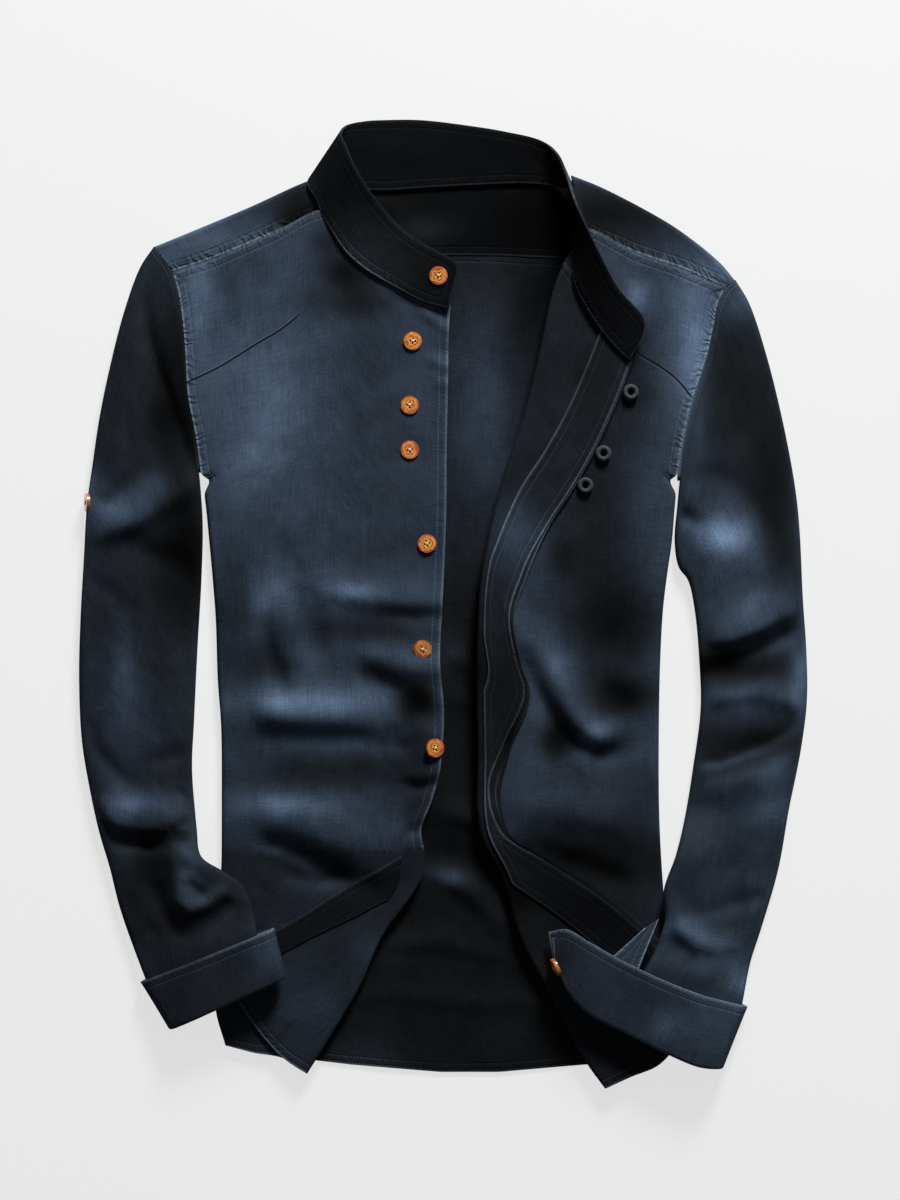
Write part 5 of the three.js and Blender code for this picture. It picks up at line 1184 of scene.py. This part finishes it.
# Paler and darker places of the cuffs, partly fading and partly painted light and shade
CUFF_FADE_AND_SHADE = [
    [-129, -262, 14, 22, 0.16], [-185, -262, 14, 10, -0.12], [88, -262, 16, 12, -0.10],
    [205, -305, 34, 40, 0.10], [226, -290, 16, 22, 0.10], [222, -291, 12, 12, 0.18],
    [168, -318, 14, 12, 0.14],
]
rings = []
for share, inside in zip(cuff_shares, cuff_inside):
    nest = (share - CUFF_SEAM_DEPTH) / (1 - CUFF_SEAM_DEPTH)
    ends = []
    for free, turned, nest_free, nest_turned in (
        RIGHT_CUFF[:2] + RIGHT_CUFF_INSIDE[:2], RIGHT_CUFF[2:] + RIGHT_CUFF_INSIDE[2:],
    ):
        outside_place = corner_mix(free, turned, share)
        ends.append(mix(outside_place, corner_mix(nest_free, nest_turned, nest), inside))

    def cuff_waves(x, y, along, inside=inside):
        return CUFF_WRINKLE * wrinkles(x, y, 81) * (1 - inside) * np.sin(math.pi * np.clip(along, 0, 1))

    steps = (CUFF_TOP_STEPS, CUFF_BOTTOM_STEPS)
    rings.append(tube_ring(*ends, *nested(inside), cuff_waves, None, *steps))
cuff_grid = np.array(rings)
cuff_fade_and_shade = fading_and_painted_shade(cuff_grid, CUFF_FADE_AND_SHADE, 0.25, 0.01)
cuff_panel = (cuff_grid, CUFF_SEAMS, None, cuff_fade_and_shade)
cuff_right, area = cloth_piece(
    "cuff_right_band", [cuff_panel], CUFF_THICKNESS, cuff_twill, ["cuff_right"], True)

# Along the left cuff: where its cloth ends at the button's side and beneath, and where it curls down
CUFF_END_AIM = 0.9
CUFF_BACK_START = 0.93
CUFF_BACK_END = 0.5
CURL_LENGTH = 0.17
UPPER_STEPS = 61
UNDER_CUFF_STEPS = 25
free_line, turned_line = smooth_line(LEFT_CUFF_FREE), smooth_line(LEFT_CUFF_TURNED)


def cuff_place(run, share):
    return mix(free_line(run), turned_line(run), share)


rings = []
for share, inside in zip(cuff_shares, cuff_inside):
    roll, base = nested(inside)
    end = cuff_place(1, share)
    direction = end - cuff_place(CUFF_END_AIM, share)
    direction = direction / np.linalg.norm(direction)
    end = end - direction * CUFF_NEST * inside
    runs = np.linspace(0.015 * inside, 0.955 - 0.012 * inside, UPPER_STEPS)
    upper = cuff_place(runs, share)
    turns = np.linspace(0, math.pi, 9)
    rolled = end + direction * (roll * (np.sin(turns) - 1))[:, None]
    under = cuff_place(np.linspace(CUFF_BACK_START, CUFF_BACK_END, UNDER_CUFF_STEPS), share)
    plan = np.concatenate([upper, rolled, under])
    curled = 2 * roll * mix(0.35, 1, ease(runs, -0.03, CURL_LENGTH))
    waves = CUFF_WRINKLE * wrinkles(upper[:, 0], upper[:, 1], 91) * (1 - inside) * ease(runs, 0.05, 0.3)
    height = np.concatenate([curled + waves, roll * (1 + np.cos(turns)), np.zeros(UNDER_CUFF_STEPS)])
    rings.append(with_height(plan, base + bed_height(plan[:, 0], plan[:, 1]) + height))
cuff_grid = np.array(rings)
cuff_fade_and_shade = fading_and_painted_shade(cuff_grid, CUFF_FADE_AND_SHADE, 0.32, 0.01)
cuff_panel = (cuff_grid, CUFF_SEAMS | {"left": 0.1}, None, cuff_fade_and_shade)
cuff_left, area = cloth_piece(
    "cuff_left_band", [cuff_panel], CUFF_THICKNESS, cuff_twill, ["cuff_left"], True)

# The slit above the left cuff, which stands open under the cuff's free edge. Its binding is a short
# strip of doubled twill between a head line and a foot line.
SLIT_HEAD = [[163, -238, BED_HEIGHT + 9], [152, -245, BED_HEIGHT + 11]]
SLIT_FOOT = [
    [147.5, -276, BED_HEIGHT + 11.8], [138, -272.5, BED_HEIGHT + 11.8], [127, -267, BED_HEIGHT + 11.8],
]
SLIT_ROWS = 20
SLIT_COLUMNS = 24
slit_steps = np.linspace(0, 1, SLIT_ROWS + 1)
head = smooth_line(SLIT_HEAD, even=False)(slit_steps)
foot = smooth_line(SLIT_FOOT, even=False)(slit_steps)
slit_grid = mix(head[:, None], foot[:, None], np.linspace(0, 1, SLIT_COLUMNS + 1)[None, :, None])
bound_twill = cloth_material("Slate twill binding", shade=1.15, wear_and_highlight=1.8)
slit_fade_and_shade = fading_and_painted_shade(slit_grid, [], 0.4, 0.01)
slit_panel = (slit_grid, CUFF_SEAMS, None, slit_fade_and_shade)
slit, area = cloth_piece(
    "sleeve_slit_binding", [slit_panel], CLOTH, bound_twill, ["sleeve_placket_left"], True)

# The placket strips, doubled twill stitched inside each front's edge and laid on its surface. They show
# where the fronts are turned, the left one as a fly with its edges side by side in its lower half.
PLACKET_WIDTH = 36
STRIP_LIFT = 1.4
EDGE_STEP_UPPER = 1.5
EDGE_STEP_LOWER = 4.6
STRIP_COLUMNS = 16
LEFT_STRIP_ROWS = 220
RIGHT_STRIP_ROWS = 60
# How much of the turned cloth a strip leaves free at its fold or at its far edge
LEFT_STRIP_MARGIN = 5.5
RIGHT_STRIP_MARGIN = 1
SKY = 0.08


def height_on(name, x, y):
    """How high the cloth's middle surface lies at a place, seen from above."""
    hit = surfaces[name].ray_cast(Vector((x * MM, y * MM, SKY)), Vector((0, 0, -1)))[0]
    return hit.z / MM if hit else 0


def laid_on(name, plan, lift):
    heights = [height_on(name, x, y) for x, y in plan.reshape(-1, 2)]
    return with_height(plan, np.array(heights).reshape(plan.shape[:-1]) + lift)


def strip_distance(width, inset, margin):
    """How far each column of a strip lies from the front's edge."""
    reach = np.minimum(PLACKET_WIDTH, width - margin)
    return mix(inset, reach, np.linspace(0, 1, STRIP_COLUMNS + 1)[None])


downs = np.linspace(0.012, 0.985, LEFT_STRIP_ROWS)
edge, fold = left_turned[3](downs), left_main[3](downs)
width = length_of(edge - fold)
inset = mix(EDGE_STEP_LOWER, EDGE_STEP_UPPER, ease(edge[:, 1], 20, 60))[:, None]
distance = strip_distance(width, inset, LEFT_STRIP_MARGIN)
strip_plan = mix(edge[:, None], fold[:, None], (distance / width)[..., None])
strip_grid = laid_on("front_left_twill", strip_plan, STRIP_LIFT)
placket_twill = cloth_material("Slate twill placket", shade=0.95, wear_and_highlight=1.7)
STRIP_SEAMS = {"left": 0.15, "right": 0.05}
# Paler and darker places of the left placket strip, partly fading and partly painted light and shade
STRIP_FADE_AND_SHADE = [
    [110, 180, 26, 60, -0.08], [58, 48, 22, 24, 0.26], [62, 0, 18, 20, 0.06], [50, -60, 26, 34, -0.14],
    [60, -110, 30, 26, -0.16], [60, -150, 30, 16, 0.06], [120, -230, 80, 46, -0.34],
]
strip_fade_and_shade = fading_and_painted_shade(strip_grid, STRIP_FADE_AND_SHADE, 0.22, 0.03)
strip_panel = (strip_grid, STRIP_SEAMS, None, strip_fade_and_shade)
placket_left, area = cloth_piece(
    "placket_left_strip", [strip_panel], CLOTH, placket_twill, ["placket_left"], True)

across = np.linspace(0.1, 0.97, RIGHT_STRIP_ROWS)
near = patch(right_corner, across, np.zeros(RIGHT_STRIP_ROWS))
far = patch(right_corner, across, np.ones(RIGHT_STRIP_ROWS))
width = length_of(far - near)
distance = strip_distance(width, EDGE_STEP_UPPER, RIGHT_STRIP_MARGIN)
strip_plan = patch(right_corner, np.broadcast_to(across[:, None], distance.shape), distance / width)
strip_grid = laid_on("front_right_twill", strip_plan, STRIP_LIFT)
strip_fade_and_shade = fading_and_painted_shade(strip_grid, [], 0.08, 0.03)
strip_panel = (strip_grid, STRIP_SEAMS, None, strip_fade_and_shade)
placket_right, area = cloth_piece(
    "placket_right_strip", [strip_panel], CLOTH, placket_twill, ["placket_right"], True)

# Three button loops of corded twill on the left front's edge. Each is a round roll of cord closed to
# a ring, which lies as flat as the edge does there.
LOOP_RING = 4.2
LOOP_ROLL = 1.75
cord_twill, tree, shader = new_material("Slate twill cord")
place = add_node(tree, "ShaderNodeTexCoord").outputs["Object"]
inputs = {"Place": place, "Dye": DYE, "Faded dye": FADED_DYE, "Fade and painted shade": 0.3}
weave = add_node(tree, "ShaderNodeGroup", inputs, node_tree=twill).outputs
bump = add_node(tree, "ShaderNodeBump", {"Distance": MM, "Height": weave["Height"]})
fill(tree, shader.inputs, {"Base Color": weave["Color"], "Normal": bump.outputs[0], "Roughness": 0.88})


def flat_place(node):
    """A flat piece's corners in the frame, the direction that it faces, and the turn towards it."""
    corners = np.array([v.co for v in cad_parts[node].data.vertices])
    axis = np.linalg.svd(corners - corners.mean(0))[2][2]
    axis = Vector(axis * np.sign(axis[2]))
    return corners, axis, Vector((0, 0, 1)).rotation_difference(axis)


for number in (1, 2, 3):
    node = f"button_loop_cord_{number}"
    corners, axis, turn = flat_place(node)
    centre = (corners.min(0) + corners.max(0)) / 2
    bpy.ops.object.select_all(action="DESELECT")
    bpy.ops.mesh.primitive_torus_add(
        major_radius=LOOP_RING * MM, minor_radius=LOOP_ROLL * MM, major_segments=40, minor_segments=14,
        location=centre, rotation=turn.to_euler())
    loop = bpy.context.object
    loop.name = f"button_loop_cord_{number}_roll"
    bpy.ops.object.transform_apply(location=True, rotation=True, scale=True)
    bpy.ops.object.shade_smooth()
    loop.data.materials.append(cord_twill)
    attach(loop, "root")
    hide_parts(node)

# The buttons, turned from amber horn with a dished middle, a raised rim and four holes, and sewn on with
# thread. One is made, and it is copied to each button's place in the frame.
BUTTON_RADIUS = 6.85
BUTTON_THICKNESS = 2.6
# Each step of the dish: how far its rim is inset, and how far it goes down
BUTTON_DISH = ((0.8, 0), (1.1, 0.85), (1.1, 0.45), (0.5, 0.05))
HOLE_RADIUS = 0.85
HOLE_SPACING = 2.5
EDGE_ROUND = 0.45
BUTTON_NODES = [
    "button_collar", "button_loop_1", "button_loop_2", "button_loop_3", "button_placket_1",
    "button_placket_2", "button_placket_3", "button_sleeve_tab", "button_cuff",
]
FIRST_SPIN = 0.5
SPIN_STEP = 1.7
horn, tree, shader = new_material("Amber horn")
place = add_node(tree, "ShaderNodeTexCoord").outputs["Object"]
inputs = {"Vector": place, "Scale": 150.0, "Detail": 2.0, "Distortion": 1.2}
warp = add_node(tree, "ShaderNodeTexNoise", inputs)
outward_share = add_node(tree, "ShaderNodeAttribute", attribute_name="turned_radius").outputs["Fac"]
ringed = add_sum(tree, "SUBTRACT", outward_share, 0.38)
grain_and_painted_shade = add_sum(tree, "MULTIPLY_ADD", warp.outputs["Fac"], 0.7, ringed)
colours = add_node(tree, "ShaderNodeValToRGB", {"Fac": grain_and_painted_shade})
# Horn tones by distance from the middle, warped by grain; the dark ring over the dish's wall and the darker
# rim are painted shade
HORN_TONES_AND_SHADE = [
    (0.0, (0.66, 0.28, 0.06)), (0.40, (0.62, 0.23, 0.04)), (0.56, (0.13, 0.028, 0.006)),
    (0.68, (0.60, 0.21, 0.035)), (1.0, (0.24, 0.05, 0.009)),
]
while len(colours.color_ramp.elements) < len(HORN_TONES_AND_SHADE):
    colours.color_ramp.elements.new(0.5)
for element, (place_on_ramp, tone) in zip(colours.color_ramp.elements, HORN_TONES_AND_SHADE):
    element.position = place_on_ramp
    element.color = (*tone, 1)
scratches = add_node(tree, "ShaderNodeTexNoise", {"Vector": place, "Scale": 1400.0, "Detail": 3.0})
bump = add_node(tree, "ShaderNodeBump", {"Distance": 0.02 * MM, "Height": scratches.outputs["Fac"]})
fill(tree, shader.inputs, {
    "Base Color": colours.outputs["Color"], "Normal": bump.outputs[0], "Roughness": 0.26,
    "Coat Weight": 0.9, "Coat Roughness": 0.12,
})

sewing_thread, tree, shader = new_material("Sewing thread")
place = add_node(tree, "ShaderNodeTexCoord").outputs["Object"]
twist = add_node(tree, "ShaderNodeTexNoise", {"Vector": place, "Scale": 2600.0, "Detail": 2.0})
tone = colour_mix(tree, twist.outputs["Fac"], (0.30, 0.22, 0.15, 1), (0.75, 0.66, 0.52, 1))
fill(tree, shader.inputs, {"Base Color": tone, "Roughness": 0.8})


def cut_with(piece, cutter):
    cut = piece.modifiers.new("Hole", "BOOLEAN")
    cut.object = cutter
    cut.operation = "DIFFERENCE"
    cut.solver = "EXACT"
    bpy.context.view_layer.objects.active = piece
    bpy.ops.object.modifier_apply(modifier=cut.name)
    bpy.data.objects.remove(cutter)


# One button is turned: a disc whose upper face is inset for the rim and pushed down for the dish
bpy.ops.object.select_all(action="DESELECT")
bpy.ops.mesh.primitive_cylinder_add(
    vertices=56, radius=BUTTON_RADIUS * MM, depth=BUTTON_THICKNESS * MM,
    location=(0, 0, BUTTON_THICKNESS / 2 * MM))
master = bpy.context.object
bpy.ops.object.transform_apply(location=True)
for vertex in master.data.vertices:
    vertex.select = vertex.co.z > 0.9 * BUTTON_THICKNESS * MM
bpy.ops.object.mode_set(mode="EDIT")
bpy.ops.mesh.select_mode(type="FACE")
for width, depth in BUTTON_DISH:
    bpy.ops.mesh.inset(thickness=width * MM)
    bpy.ops.transform.translate(value=(0, 0, -depth * MM))
bpy.ops.object.mode_set(mode="OBJECT")
for x in (-1, 1):
    for y in (-1, 1):
        bpy.ops.mesh.primitive_cylinder_add(
            vertices=20, radius=HOLE_RADIUS * MM, depth=4 * BUTTON_THICKNESS * MM,
            location=(x * HOLE_SPACING / 2 * MM, y * HOLE_SPACING / 2 * MM, 0))
        cut_with(master, bpy.context.object)
select_only(master)
bevel_edges(master, "Turned edges", EDGE_ROUND, 3, 40)
bpy.ops.object.shade_smooth_by_angle(angle=math.radians(42))
master.data.materials.append(horn)
spread = master.data.attributes.new("turned_radius", "FLOAT", "POINT")
spread.data.foreach_set("value", [v.co.xy.length / (BUTTON_RADIUS * MM) for v in master.data.vertices])

# The thread crosses over the dish, from hole to hole
THREAD_RADIUS = 0.24
THREAD_HEIGHT = BUTTON_THICKNESS - 1.1
thread_parts = []
for turned in (-45, 45):
    bpy.ops.mesh.primitive_cylinder_add(
        vertices=8, radius=THREAD_RADIUS * MM, depth=1.25 * HOLE_SPACING * MM,
        location=(0, 0, THREAD_HEIGHT * MM), rotation=(math.pi / 2, 0, math.radians(turned)))
    thread_parts.append(bpy.context.object)
select_only(*thread_parts)
bpy.ops.object.join()
thread_master = bpy.context.object
bpy.ops.object.transform_apply(location=True, rotation=True, scale=True)
bpy.ops.object.shade_smooth()
thread_master.data.materials.append(sewing_thread)

for number, node in enumerate(BUTTON_NODES):
    corners, axis, turn = flat_place(node)
    middle = Vector(corners.mean(0))
    lowest = min((Vector(c) - middle).dot(axis) for c in corners)
    spin = Matrix.Rotation(FIRST_SPIN + SPIN_STEP * number, 4, "Z")
    place = Matrix.Translation(middle + axis * lowest) @ turn.to_matrix().to_4x4() @ spin
    for source, suffix in ((master, "horn"), (thread_master, "thread")):
        copy = linked_object(f"{node}_{suffix}", source.data.copy())
        copy.data.transform(place)
        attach(copy, "root")
        if suffix == "horn":
            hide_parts(node)
for source in (master, thread_master):
    bpy.data.objects.remove(source)

# The pale paper floor, the window's soft light from beyond the collar and the camera straight above.
# They are the picture's stage and no part of the shirt.
FLOOR_HALF = 4
FLOOR_DROP = 0.2
bpy.ops.object.select_all(action="DESELECT")
bpy.ops.mesh.primitive_plane_add(size=2 * FLOOR_HALF, location=(0, 0, 0))
floor = bpy.context.object
floor.name = "pale_floor"
floor.data.transform(Matrix.Translation((0, 0, -FLOOR_DROP * MM)))
pale, tree, shader = new_material("Pale paper floor")
fill(tree, shader.inputs, {
    "Base Color": (0.11, 0.11, 0.11, 1), "Roughness": 0.9, "Emission Color": (1, 1, 1, 1),
    "Emission Strength": 0.695,
})
floor.data.materials.append(pale)

WINDOW_PLACE = (0.75, 2.75, 1.4)
window = bpy.data.lights.new("Window light", "AREA")
window.shape = "DISK"
window.size = 0.9
window.energy = 246
window.color = (0.97, 0.985, 1.0)
lamp = linked_object("Window light", window)
lamp.location = WINDOW_PLACE
lamp.rotation_euler = Vector(WINDOW_PLACE).to_track_quat("Z", "Y").to_euler()
world = bpy.data.worlds.new("Pale room")
bpy.context.scene.world = world
world.use_nodes = True
sky = {"Color": (0.93, 0.96, 1.0, 1), "Strength": 0.17}
fill(world.node_tree, world.node_tree.nodes["Background"].inputs, sky)

bpy.context.scene.view_settings.view_transform = "Standard"
VIEW_HEIGHT = 0.9
LENS = 85
SENSOR = 36
CAMERA_X = 0.0075
CAMERA_RAISE = 0.008
camera_data = bpy.data.cameras.new("Camera over the shirt")
camera_data.lens = LENS
camera_data.sensor_width = SENSOR
camera = linked_object("Camera over the shirt", camera_data)
camera.location = (CAMERA_X, 0, VIEW_HEIGHT * LENS / SENSOR + CAMERA_RAISE)
bpy.context.scene.camera = camera
